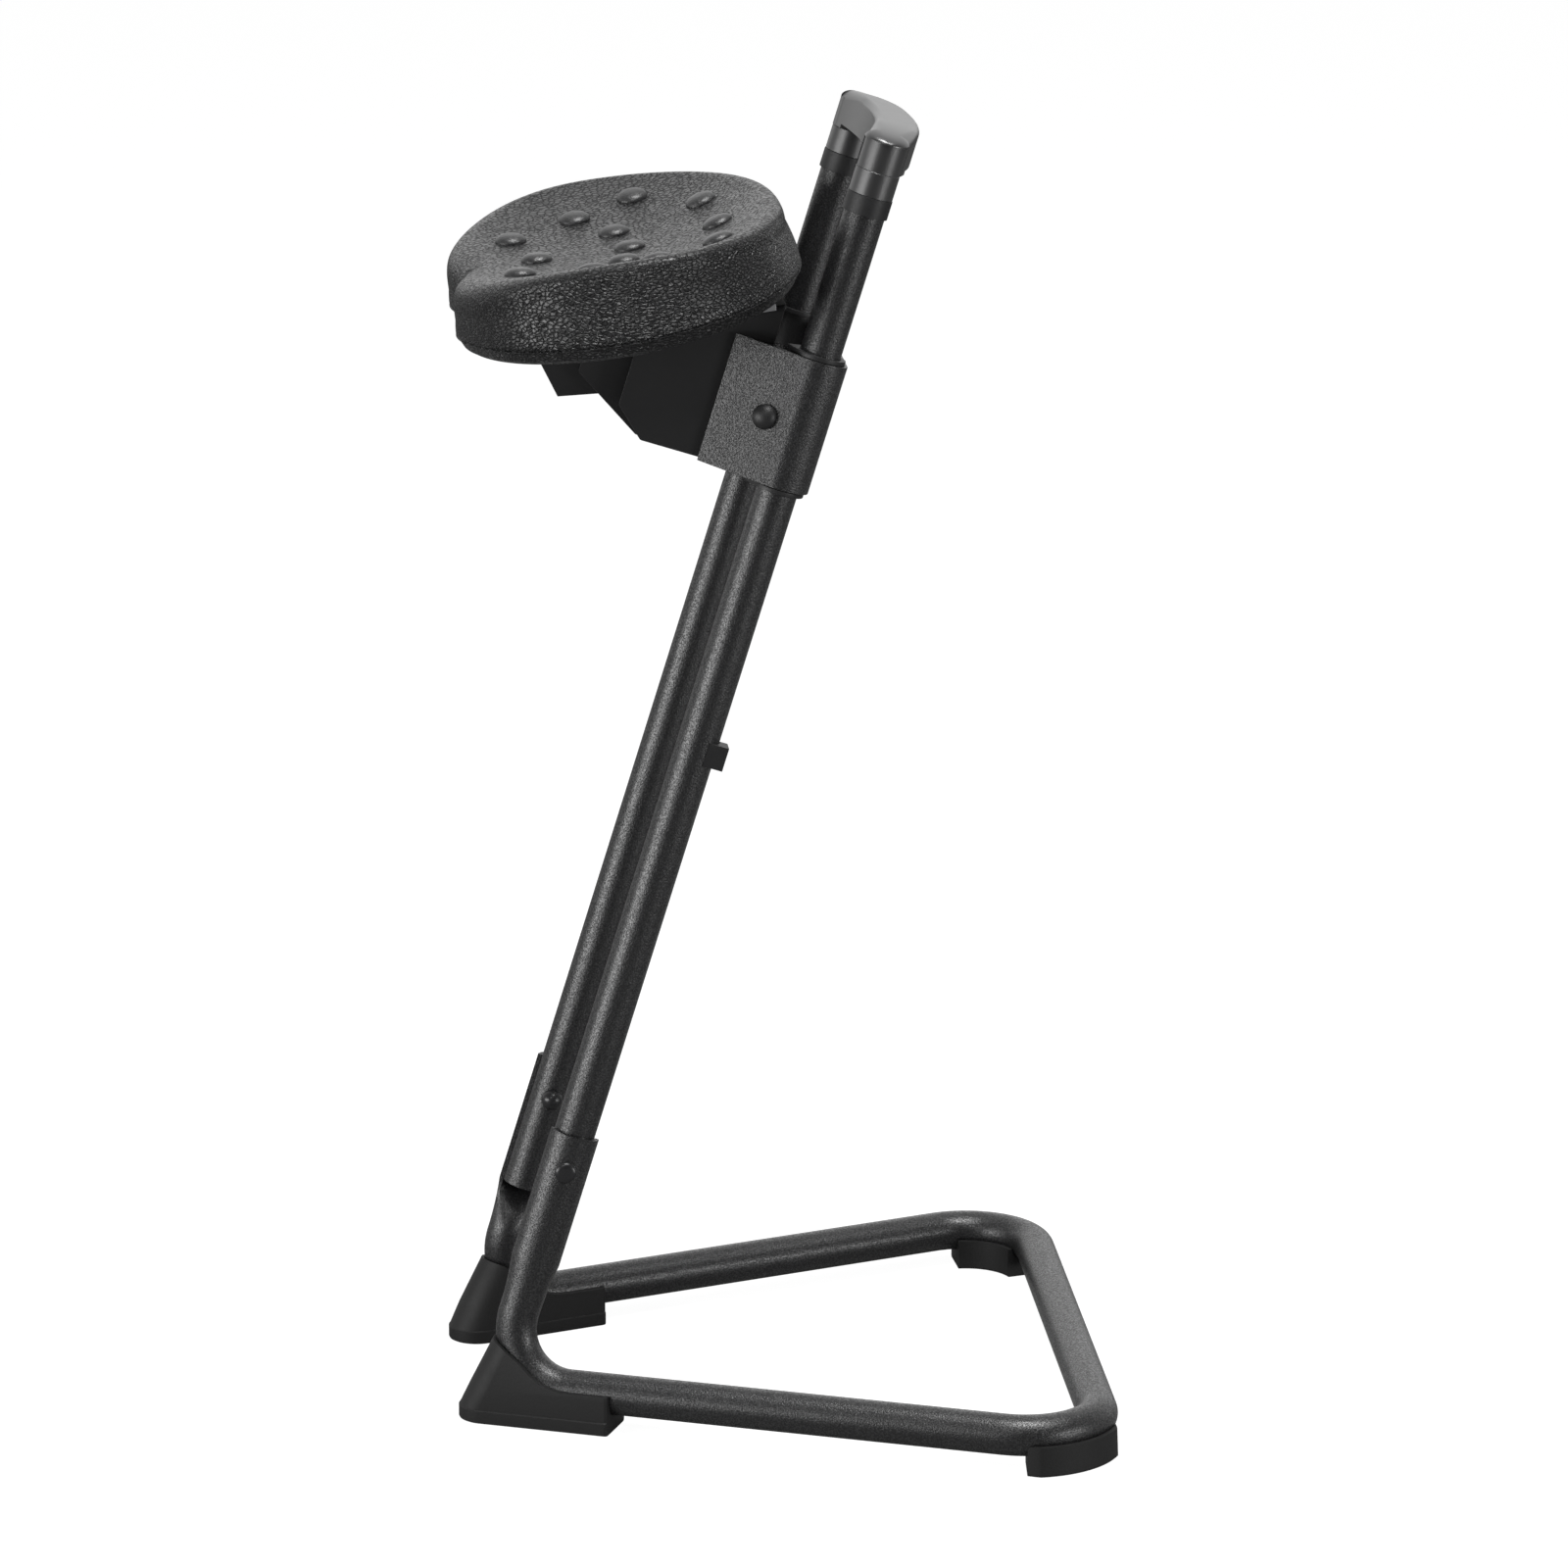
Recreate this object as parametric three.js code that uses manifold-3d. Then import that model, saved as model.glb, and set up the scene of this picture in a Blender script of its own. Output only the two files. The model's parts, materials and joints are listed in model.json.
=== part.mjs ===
// Work stool: a tilting saddle seat on a carriage that slides on two leaning uprights.
// Millimetres, +Z up. +X is the sitter's left hand, and the sitter faces -Y.
// The origin is the middle of the stool's outline on the floor.

import * as THREE from "three";
import { mergeVertices } from "three/addons/utils/BufferGeometryUtils.js";
import Module from "manifold-3d";

const wasm = await Module();
wasm.setup();

// Clearances and drawing fineness
const FIT = 0.3; // between pieces that rest on or slide in each other
const OVERRUN = 8; // how far a cut runs past the face that it opens
const FAR = 600; // reach of a cut that takes off everything beyond a plane
const TUBE_SIDES = 20;
const ROUND_SIDES = 28;
const SMALL_SIDES = 20;
const BEND_STEPS = 7;
const POINT_NUMBERS = 3; // coordinates of a point
const FACE_CORNERS = 3;

// Steel tube of the uprights and the base
const TUBE_RADIUS = 14;
const TUBE_WALL = 1.8;

// Uprights, measured along their own axis from the floor
const LEAN_DEGREES = 17.32;
const UPRIGHT_SPACING = 172;
const UPRIGHT_TOP = 915;

// Base tube
const RAIL_HEIGHT = 24.5; // axis above the floor
const RAIL_SPLAY_DEGREES = 22.3;
const REAR_BAR_REACH = 410.5; // axis behind the line where the uprights meet the floor
const FRONT_BEND_RADIUS = 40;
const REAR_BEND_RADIUS = 50;

// Saddle: the base tube's end, pressed into a double-walled trough round the upright
const LEG_STRAIGHT = 14.3; // round tube between the front bend and the trough
const SADDLE_LENGTH = 94;
const SADDLE_BLEND = 24; // length over which the trough turns into the round tube
const SADDLE_WALL = 1.2;
const SADDLE_SLOT = 0.6; // left between the two pressed walls
const SADDLE_HALF_ANGLE_DEGREES = 77.7;
const SADDLE_BLEND_SHARES = [0, 0.35, 0.7, 1];

// Bolts through saddle and upright
const FRAME_BOLT_RADIUS = 4;
const FRAME_BOLT_FROM_TOP = 25;
const FRAME_BOLT_HEAD_RADIUS = 7.5;
const FRAME_BOLT_HEAD_HEIGHT = 3.6;
const DOME_NUT_RADIUS = 7.5;
const DOME_NUT_HEIGHT = 10;
const DOME_NUT_WALL = 5; // solid crown over the bolt's end

// Front feet, along the rail from the corner of the base tube's axes
const FRONT_FOOT_SIDE_WALL = 5.7; // beside the tube's trough
const FRONT_FOOT_TAPER = 1; // each side, above the bead
const FRONT_FOOT_TOE = 26.5; // toe in front of the corner
const FRONT_FOOT_HEEL = 86; // rear face behind the corner
const FRONT_FOOT_PEAK_HEIGHT = 66;
const FRONT_FOOT_WALL = 3.2; // in front of the tube at the peak
const FRONT_FOOT_BEAD_HEIGHT = 9;
const FRONT_FOOT_BEAD_STEP = 1.4;
const FRONT_FOOT_CHAMFER = 3;
const FRONT_FOOT_SIDE_HEIGHT = 27.5; // side walls at the heel
const FOOT_TOE_STEPS = 12;
// The rim from toe to heel: along its run, and up from the side walls to the peak
const FRONT_FOOT_RIM_SHARES = [
  [0, 1],
  [0.14, 0.9],
  [0.26, 0.74],
  [0.4, 0.54],
  [0.54, 0.29],
  [0.68, 0.12],
  [0.82, 0.03],
  [1, 0],
];

// Rear feet, swept round the base tube's rear bends
const REAR_FOOT_SIDE_WALL = 3.7; // beside the tube's trough
const REAR_FOOT_HEIGHT = 21;
const REAR_FOOT_TAPER = 0.8;
const REAR_FOOT_CHAMFER = 1.5;
const REAR_FOOT_START_DEGREES = -4; // about the bend's centre, from straight out
const REAR_FOOT_END_DEGREES = 72;
const REAR_FOOT_BEVEL = 4;
const REAR_FOOT_BEVEL_DEGREES = 8;
const REAR_FOOT_STEPS = 10;

// Stop blocks on the back of the uprights
const STOP_BLOCK_HEIGHT = 16.5;
const STOP_BLOCK_INNER = 2; // inside the tube's axis
const STOP_BLOCK_WIDTH = 15;
const STOP_BLOCK_FRONT = 5.5; // behind the tube's axis
const STOP_BLOCK_DEPTH = 14.5;

// Handle and its collars
const COLLAR_WALL = 1.2;
const COLLAR_HEIGHT = 13;
const HANDLE_SOCKET_WALL = 0.8;
const HANDLE_SOCKET_HEIGHT = 16.7;
const HANDLE_GRIP = 15; // the tube's end above the seam of sockets and bow
const HANDLE_WALL = 1.2; // of the bow beside the tube
const HANDLE_BOW = 13; // how far the middle bows to the rear
const HANDLE_RISE = 34; // top of the bow in the middle, above the seam
const HANDLE_SHOULDER_DROP = 14;
const HANDLE_SHOULDER_SHARPNESS = 6;
const HANDLE_CORNER = 6.5;
const HANDLE_GRIP_RISE = 3; // the grip's underside above the seam
const HANDLE_CORNER_STEPS = 4;
const HANDLE_CORNER_SHARE = 0.6; // most that a corner takes of the bow's half depth
const HANDLE_SPAN_SHARES = [0, 0.2, 0.4, 0.6, 0.75, 0.88, 1];
const HANDLE_END_SHARES = [0.3, 0.55, 0.76, 0.9, 0.975];

// Carriage, measured along the uprights from the sleeve's bottom edge
const TRAVEL_UP = 98.2; // from its setting to the collars
const TRAVEL_DOWN = 176.2; // from its setting to the stop blocks
const SLEEVE_WALL = 2.2;
const SLEEVE_CHEEK_DEGREES = 24.5; // how far the side plates close in to the front
const SLEEVE_REACH = 57; // front edge ahead of the uprights' axes
const SLEEVE_BEND_STEPS = 9;

// Guide bushes
const BUSH_WALL = 1.2;
const BUSH_FLANGE_LEDGE = 3.5; // beyond the bore
const BUSH_FLANGE_THICKNESS = 3;
const BUSH_DEPTH = 22.5; // inside the sleeve
const BUSH_NOSE = 4.2; // tip of the flange ahead of its round part
const BUSH_NOSE_INSET = 3; // tip of the flange inside the upright's axis

// Pivot that carries the seat
const PIVOT_DROP = 46.5; // below the sleeve's top edge
const PIVOT_GAP = 2; // between spacers and uprights
const PIVOT_RADIUS = 5;
const PIVOT_END = 1.2; // bolt's end beyond the side plate's outer face
const SPACER_RADIUS = 8;
const PIVOT_CAP_PLAY = 1.2; // round the bolt's end
const PIVOT_CAP_WALL = 2.3;
const PIVOT_CAP_CROWN = 2.9;
const PIVOT_CAP_BORE_DEPTH = 4;
const DOME_STEPS = 5;

// Seat channels of folded sheet, measured from the pivot bolt
const SHEET = 3;
const BRACKET_PLAY = 1.8; // each side in the sleeve's mouth
const BRACKET_FRONT = 93.5;
const BRACKET_DEPTH = 42; // bottom edge below the pivot
const BRACKET_CHAMFER_RISE = 19;
const BRACKET_CHAMFER_RUN = 20.8;
const BRACKET_REAR = 8.5;
const BRACKET_SHOULDER = 11;
const BRACKET_REAR_SLOPE_RUN = 14.5;
const BRACKET_REAR_SLOPE_RISE = 24;
const CHANNEL_INSET = 16; // from the bracket's side to the inner channel's
const CHANNEL_FRONT = 124;
const CHANNEL_FRONT_DEPTH = 10; // front edge's lower end below the pivot
const CHANNEL_SLOPE_RUN = 51;
const CHANNEL_REAR_GAP = 21;

// Seat pan under the pad's front, in the pad's own frame
const PAN_INSET = 10; // from the inner channel's side to the pan's
const PAN_FRONT = 66;
const PAN_LIP_DEPTH = 3;
const PAN_KNEE = 59;
const PAN_KNEE_DEPTH = 19;
const PAN_TOE = 51;
const PAN_TOE_DEPTH = 43;
const PAN_DEPTH = 48;
const PAN_REAR = 10;

// Brake shoes between the bracket and the uprights
const SHOE_GAP = 1; // below the spacers
const SHOE_HEIGHT = 10;
const SHOE_DEPTH = 9; // ahead of the uprights
const SHOE_PLAY = 1.4; // to the side plates
const SHOE_BUSH_GAP = 2; // above the lower bushes
const SHOE_WRAP = 2; // how far the shoe reaches round the tube

// Seat pad, in its own frame: x across, y to the rear, z square to its flat underside
const PAD_GAP = 2.5; // between the uprights and the pad's rear end
const PAD_RISE = 27; // above the pivot, along the uprights
const PAD_PITCH_DEGREES = 8; // rear edge up
const PAD_HALF_WIDTH = 178;
const PAD_REAR = 123;
const PAD_FRONT = 113;
const PAD_REAR_POWER = 2.6;
const PAD_FRONT_POWER = 2.3;
const PAD_NOTCH_DEPTH = 7;
const PAD_NOTCH_HALF_WIDTH = 16;
const PAD_DISH_HEIGHT = 40.5;
const PAD_SIDE_RISE = 21.3;
const PAD_SIDE_REACH = 168;
const PAD_SIDE_POWER = 2.33;
const PAD_REAR_RISE = 19.5;
const PAD_FRONT_RISE = 18.3;
const PAD_END_REACH = 118;
const PAD_END_POWER = 3;
const PAD_BELT_HEIGHT = 12; // widest line above the underside
const PAD_PARTING_HEIGHT = 6.5;
const PAD_PARTING_INSET = 1;
const PAD_UNDERCUT_HEIGHT = 2.5;
const PAD_UNDERCUT_INSET = 3.5;
const PAD_SOLE_INSET = 12;
const PAD_SIDE_DRAW = 8; // how far the wall leans in up to the rim
const PAD_REAR_DRAW = 4;
const PAD_FRONT_DRAW = 6;
const PAD_RIM_RADIUS = 12;
const PAD_FRONT_RIM_RADIUS = 24;
const PAD_RIM_STEPS = 4;
const PAD_DIVISIONS = 48;
const PAD_NOTCH_DEGREES = [-3.6, -1.6, 1.6, 3.6];
const PAD_TOP_SHARES = [0.8, 0.6, 0.4, 0.2];
const PAD_WALL_MIDDLE_SHARE = 0.35;

// Plate and screws in the underside of the pad
const PLATE_SIDE_MARGIN = 24; // beside the screws
const PLATE_FRONT_MARGIN = 76; // ahead of the front screws
const PLATE_REAR_MARGIN = 16; // behind the rear screws
const PLATE_THICKNESS = 5;
const SCREW_RADIUS = 3;
const SCREW_HEAD_RADIUS = 5;
const SCREW_HEAD_HEIGHT = 3.5;
const SCREW_INSET = 10; // from the bracket's outer face
const SCREW_FROM_FRONT = 13.3; // behind the bracket's front edge
const SCREW_FROM_REAR = 21.7; // ahead of the rear end of its web
const SCREW_TIP = 0.5; // short of the plate's upper face

// Values worked out from the sizes above
const LEAN = THREE.MathUtils.degToRad(LEAN_DEGREES);
const SPLAY = THREE.MathUtils.degToRad(RAIL_SPLAY_DEGREES);
const PAD_PITCH = THREE.MathUtils.degToRad(PAD_PITCH_DEGREES);
const SADDLE_HALF_ANGLE = THREE.MathUtils.degToRad(SADDLE_HALF_ANGLE_DEGREES);
const SLEEVE_CHEEK_ANGLE = THREE.MathUtils.degToRad(SLEEVE_CHEEK_DEGREES);
const QUARTER_TURN = Math.PI / 2;
const TUBE_X = UPRIGHT_SPACING / 2;
const BORE_RADIUS = TUBE_RADIUS + FIT;
const SADDLE_RADIUS = BORE_RADIUS + SADDLE_WALL + SADDLE_SLOT + SADDLE_WALL;
const LEG_OFFSET = SADDLE_RADIUS - TUBE_RADIUS;
const LEG_X = TUBE_X + LEG_OFFSET;
const FRONT_TURN = Math.acos(-Math.sin(LEAN) * Math.cos(SPLAY));
const FRONT_BEND_TOP = RAIL_HEIGHT / Math.cos(LEAN) + FRONT_BEND_RADIUS * Math.tan(FRONT_TURN / 2);
const UPRIGHT_BOTTOM = FRONT_BEND_TOP + LEG_STRAIGHT + SADDLE_BLEND + FIT;
const SADDLE_TOP = UPRIGHT_BOTTOM - FIT + SADDLE_LENGTH;
const FRAME_BOLT_S = SADDLE_TOP - FRAME_BOLT_FROM_TOP;
const FRONT_FOOT_HALF_WIDTH = BORE_RADIUS + FRONT_FOOT_SIDE_WALL;
const REAR_FOOT_HALF_WIDTH = BORE_RADIUS + REAR_FOOT_SIDE_WALL;

// Heights inside the sleeve
const SHOE_RISE = SPACER_RADIUS + SHOE_GAP + SHOE_HEIGHT / 2; // centre below the pivot
const PIVOT_RISE = BUSH_DEPTH + SHOE_BUSH_GAP + SHOE_HEIGHT / 2 + SHOE_RISE;
const SLEEVE_LENGTH = PIVOT_RISE + PIVOT_DROP;

// Heights along the uprights, from their top down
const HANDLE_SEAM = UPRIGHT_TOP - HANDLE_GRIP;
const HANDLE_CROWN = HANDLE_SEAM + HANDLE_RISE;
const HANDLE_HALF_DEPTH = BORE_RADIUS + HANDLE_WALL;
const SOCKET_BOTTOM = HANDLE_SEAM - HANDLE_SOCKET_HEIGHT;
const COLLAR_BOTTOM = SOCKET_BOTTOM - FIT - COLLAR_HEIGHT;
const FLANGE_OUT = FIT + BUSH_FLANGE_THICKNESS;
const CARRIAGE_BOTTOM = COLLAR_BOTTOM - TRAVEL_UP - FLANGE_OUT - SLEEVE_LENGTH;
const STOP_BLOCK_TOP = CARRIAGE_BOTTOM - FLANGE_OUT - TRAVEL_DOWN;

// Carriage and seat across the uprights
const BUSH_RADIUS = BORE_RADIUS + BUSH_WALL;
const BUSH_FLANGE_RADIUS = BORE_RADIUS + BUSH_FLANGE_LEDGE;
const BUSH_NOSE_REACH = BUSH_FLANGE_RADIUS + BUSH_NOSE;
const SLEEVE_RADIUS = BUSH_RADIUS + FIT + SLEEVE_WALL; // outside, about the uprights' axes
const PIVOT_REACH = TUBE_RADIUS + PIVOT_GAP + SPACER_RADIUS; // ahead of the uprights' axes
const PIVOT_CAP_BORE = PIVOT_RADIUS + PIVOT_CAP_PLAY;
const PIVOT_CAP_RADIUS = PIVOT_CAP_BORE + PIVOT_CAP_WALL;
const PIVOT_CAP_HEIGHT = PIVOT_CAP_BORE_DEPTH + PIVOT_CAP_CROWN;
const BRACKET_HALF_WIDTH = cheekInside(SLEEVE_REACH) - BRACKET_PLAY;
const CHANNEL_HALF_WIDTH = BRACKET_HALF_WIDTH - CHANNEL_INSET;
const PAN_HALF_WIDTH = CHANNEL_HALF_WIDTH - PAN_INSET;
const SHOE_REACH = TUBE_RADIUS + SHOE_DEPTH;
const PLATE_TOP = PLATE_THICKNESS;
const WEB_TOP = -FIT;
const WEB_BOTTOM = WEB_TOP - SHEET;
const INNER_WEB_TOP = WEB_BOTTOM - FIT;
const INNER_WEB_BOTTOM = INNER_WEB_TOP - SHEET;
const MAST_MATRIX = new THREE.Matrix4().makeRotationX(-LEAN);
const PAD_TURN = LEAN + PAD_PITCH;
const PAD_BEHIND = PAD_REAR * Math.cos(PAD_TURN);
const PAD_FORWARD = TUBE_RADIUS + PAD_GAP + PAD_BEHIND - PIVOT_REACH; // ahead of the pivot
const SCREW_X = BRACKET_HALF_WIDTH - SCREW_INSET;
const SCREW_FRONT = onPad(-BRACKET_FRONT + SCREW_FROM_FRONT);
const SCREW_REAR = onPad(BRACKET_REAR - BRACKET_REAR_SLOPE_RUN - SCREW_FROM_REAR);
const PLATE_HALF_WIDTH = SCREW_X + PLATE_SIDE_MARGIN;
const PLATE_FRONT = PLATE_FRONT_MARGIN - SCREW_FRONT;
const PLATE_REAR = SCREW_REAR + PLATE_REAR_MARGIN;
const PAD_MATRIX = new THREE.Matrix4()
  .makeTranslation(0, -PAD_FORWARD, PAD_RISE)
  .multiply(new THREE.Matrix4().makeRotationX(PAD_TURN));
const SIDES = { left: 1, right: -1 };

// Finishes
const FINISHES = {
  powder_coat: { color: 0x2b2b2c, roughness: 0.5, metalness: 0.1 },
  sheet: { color: 0x242425, roughness: 0.55, metalness: 0.1 },
  pad: { color: 0x2a2a2b, roughness: 0.6, metalness: 0 },
  gloss_plastic: { color: 0x38383a, roughness: 0.28, metalness: 0 },
  matte_plastic: { color: 0x2f2f30, roughness: 0.65, metalness: 0 },
  foot: { color: 0x262627, roughness: 0.75, metalness: 0 },
  bolt: { color: 0x1f1f20, roughness: 0.4, metalness: 0.6 },
  steel: { color: 0x9a9a9c, roughness: 0.35, metalness: 1 },
};

// Outer and inner face of the sleeve's side plate at a distance ahead of the uprights' axes
function cheekOutside(ahead) {
  const bend = SLEEVE_RADIUS * Math.sin(SLEEVE_CHEEK_ANGLE);
  const closing = (ahead - bend) * Math.tan(SLEEVE_CHEEK_ANGLE);
  return TUBE_X + SLEEVE_RADIUS * Math.cos(SLEEVE_CHEEK_ANGLE) - closing;
}

function cheekInside(ahead) {
  return cheekOutside(ahead) - SLEEVE_WALL / Math.cos(SLEEVE_CHEEK_ANGLE);
}

// Place on the pad's flat underside of a point at a distance from the pivot
function onPad(n) {
  return (n + PAD_FORWARD) / Math.cos(PAD_TURN);
}

// Turns any geometry into shared vertices, no folded faces, and faces that point out.
function tidy(geometry) {
  const bare = geometry.index ? geometry.toNonIndexed() : geometry.clone();
  bare.deleteAttribute("normal");
  bare.deleteAttribute("uv");
  const merged = mergeVertices(bare);
  const position = merged.attributes.position;
  const corners = Array.from(merged.index.array);
  const faces = [];
  let volume = 0;
  for (let i = 0; i < corners.length; i += FACE_CORNERS) {
    const [a, b, c] = corners.slice(i, i + FACE_CORNERS);
    if (a === b || b === c || c === a) continue;
    faces.push([a, b, c]);
    const [p, q, r] = [a, b, c].map((k) => new THREE.Vector3().fromBufferAttribute(position, k));
    volume += p.dot(q.cross(r));
  }
  const index = faces.flatMap(([a, b, c]) => (volume < 0 ? [a, c, b] : [a, b, c]));
  merged.setIndex(index);
  return merged;
}

function geometryFrom(points, faces) {
  const geometry = new THREE.BufferGeometry();
  const numbers = points.flatMap((p) => [p.x, p.y, p.z]);
  geometry.setAttribute("position", new THREE.Float32BufferAttribute(numbers, POINT_NUMBERS));
  geometry.setIndex(faces.flat());
  return tidy(geometry);
}

function toSolid(geometry) {
  const closed = tidy(geometry);
  const vertProperties = new Float32Array(closed.attributes.position.array);
  const triVerts = new Uint32Array(closed.index.array);
  return new wasm.Manifold(new wasm.Mesh({ numProp: POINT_NUMBERS, vertProperties, triVerts }));
}

function toGeometry(solid) {
  const mesh = solid.getMesh();
  const geometry = new THREE.BufferGeometry();
  geometry.setAttribute("position", new THREE.BufferAttribute(mesh.vertProperties, mesh.numProp));
  geometry.setIndex(new THREE.BufferAttribute(mesh.triVerts, 1));
  return geometry;
}

function cut(body, ...tools) {
  const result = tools.reduce((solid, tool) => solid.subtract(toSolid(tool)), toSolid(body));
  return toGeometry(result);
}

function join(body, ...others) {
  const result = others.reduce((solid, other) => solid.add(toSolid(other)), toSolid(body));
  return toGeometry(result);
}

function mirrored(geometry) {
  return tidy(geometry.clone().scale(-1, 1, 1));
}

// Left pieces are drawn, and right ones are their mirror images.
function onSide(geometry, side) {
  return side > 0 ? geometry : mirrored(geometry);
}

// Revolves a profile of [radius, height] corners about Z.
function revolve(profile, sides = ROUND_SIDES) {
  const points = profile.map(([radius, height]) => new THREE.Vector2(radius, height));
  return new THREE.LatheGeometry(points, sides).rotateX(QUARTER_TURN);
}

function rod(radius, from, to, sides = ROUND_SIDES) {
  return revolve([[0, from], [radius, from], [radius, to], [0, to]], sides);
}

function pipe(outer, inner, from, to, sides = ROUND_SIDES) {
  return revolve([[inner, from], [outer, from], [outer, to], [inner, to], [inner, from]], sides);
}

function dome(radius, height, base) {
  const profile = [[0, base], [radius, base]];
  for (let i = 1; i <= DOME_STEPS; i += 1) {
    const angle = (i / DOME_STEPS) * QUARTER_TURN;
    profile.push([radius * Math.cos(angle), base + height * Math.sin(angle)]);
  }
  return revolve(profile, SMALL_SIDES);
}

function alongX(geometry) {
  return geometry.rotateY(QUARTER_TURN);
}

// Extrudes an outline of [x, y] corners from one height to another.
function slab(outline, from, to) {
  const shape = new THREE.Shape(outline.map(([x, y]) => new THREE.Vector2(x, y)));
  const options = { depth: to - from, bevelEnabled: false };
  return new THREE.ExtrudeGeometry(shape, options).translate(0, 0, from);
}

// Extrudes an outline of [y, z] corners across the stool.
function sideSlab(outline, from, to) {
  const turn = new THREE.Matrix4().makeBasis(
    new THREE.Vector3(0, 1, 0),
    new THREE.Vector3(0, 0, 1),
    new THREE.Vector3(1, 0, 0),
  );
  return slab(outline, from, to).applyMatrix4(turn);
}

function block([x1, y1, z1], [x2, y2, z2]) {
  return slab([[x1, y1], [x2, y1], [x2, y2], [x1, y2]], z1, z2);
}

// Skins a row of closed rings and closes both ends on a point.
function loft(rings, firstPoint, lastPoint) {
  const count = rings[0].length;
  const points = rings.flat().concat([firstPoint, lastPoint]);
  const first = points.length - 2;
  const last = points.length - 1;
  const end = (rings.length - 1) * count;
  const faces = [];
  for (let i = 0; i < count; i += 1) {
    const next = (i + 1) % count;
    faces.push([first, next, i], [last, end + i, end + next]);
    for (let r = 0; r < end; r += count) {
      faces.push([r + i, r + next, r + count + next], [r + i, r + count + next, r + count + i]);
    }
  }
  return geometryFrom(points, faces);
}

function middleOf(points) {
  const sum = points.reduce((total, point) => total.add(point), new THREE.Vector3());
  return sum.divideScalar(points.length);
}

function cappedLoft(rings) {
  return loft(rings, middleOf(rings[0]), middleOf(rings[rings.length - 1]));
}

// Skins an open-ended hollow wall between outer and inner rings.
function hollowLoft(outer, inner) {
  const count = outer[0].length;
  const points = outer.flat().concat(inner.flat());
  const offset = outer.length * count;
  const end = (outer.length - 1) * count;
  const faces = [];
  for (let i = 0; i < count; i += 1) {
    const next = (i + 1) % count;
    for (let r = 0; r < end; r += count) {
      const [a, b, c, d] = [r + i, r + next, r + count + next, r + count + i];
      faces.push([a, b, c], [a, c, d]);
      faces.push([offset + a, offset + c, offset + b], [offset + a, offset + d, offset + c]);
    }
    const [e, f] = [end + i, end + next];
    faces.push([i, offset + next, next], [i, offset + i, offset + next]);
    faces.push([e, f, offset + f], [e, offset + f, offset + e]);
  }
  return geometryFrom(points, faces);
}

function addPiece(parent, name, geometry, finish) {
  const mesh = new THREE.Mesh(tidy(geometry), new THREE.MeshStandardMaterial(FINISHES[finish]));
  mesh.name = name;
  parent.add(mesh);
}

// Base tube: path of the left half from the saddle's top to the middle of the rear bar
function mastPoint(x, n, s) {
  return new THREE.Vector3(x, n, s).applyMatrix4(MAST_MATRIX);
}

const LEG_TOP = mastPoint(LEG_X, 0, SADDLE_TOP);
const FRONT_CORNER = mastPoint(LEG_X, 0, RAIL_HEIGHT / Math.cos(LEAN));
const REAR_CORNER = new THREE.Vector3(
  LEG_X + (REAR_BAR_REACH - FRONT_CORNER.y) * Math.tan(SPLAY),
  REAR_BAR_REACH,
  RAIL_HEIGHT,
);
const REAR_MIDDLE = new THREE.Vector3(0, REAR_BAR_REACH, RAIL_HEIGHT);

// Arc that rounds the corner of two straight runs, with the tube's heading at each step.
function cornerArc(before, corner, after, radius) {
  const along = corner.clone().sub(before).normalize();
  const away = after.clone().sub(corner).normalize();
  const turn = along.angleTo(away);
  const inward = away.clone().addScaledVector(along, -along.dot(away)).normalize();
  const start = corner.clone().addScaledVector(along, -radius * Math.tan(turn / 2));
  const centre = start.clone().addScaledVector(inward, radius);
  const stations = [];
  for (let i = 0; i <= BEND_STEPS; i += 1) {
    const angle = (i / BEND_STEPS) * turn;
    const point = centre.clone();
    point.addScaledVector(inward, -radius * Math.cos(angle));
    point.addScaledVector(along, radius * Math.sin(angle));
    const heading = along.clone().multiplyScalar(Math.cos(angle));
    heading.addScaledVector(inward, Math.sin(angle));
    stations.push({ point, heading, flat: 0 });
  }
  return { stations, centre };
}

function saddleStations() {
  const heading = FRONT_CORNER.clone().sub(LEG_TOP).normalize();
  const lengths = SADDLE_BLEND_SHARES.map((share) => SADDLE_LENGTH + share * SADDLE_BLEND);
  const flats = SADDLE_BLEND_SHARES.map((share) => 1 - share);
  return [0, ...lengths].map((length, i) => ({
    point: LEG_TOP.clone().addScaledVector(heading, length),
    heading,
    flat: i === 0 ? 1 : flats[i - 1],
  }));
}

const FRONT_ARC = cornerArc(LEG_TOP, FRONT_CORNER, REAR_CORNER, FRONT_BEND_RADIUS);
const REAR_ARC = cornerArc(FRONT_CORNER, REAR_CORNER, REAR_MIDDLE, REAR_BEND_RADIUS);
const BASE_STATIONS = [
  ...saddleStations(),
  ...FRONT_ARC.stations,
  ...REAR_ARC.stations,
  { point: REAR_MIDDLE, heading: new THREE.Vector3(-1, 0, 0), flat: 0 },
];

// Carries the sideways and upward directions of the section along the path without twist.
function framedStations(stations) {
  const side = new THREE.Vector3(1, 0, 0);
  let heading = stations[0].heading;
  return stations.map((station) => {
    const turn = new THREE.Quaternion().setFromUnitVectors(heading, station.heading);
    side.applyQuaternion(turn);
    heading = station.heading;
    return { ...station, side: side.clone(), up: heading.clone().cross(side) };
  });
}

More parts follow.
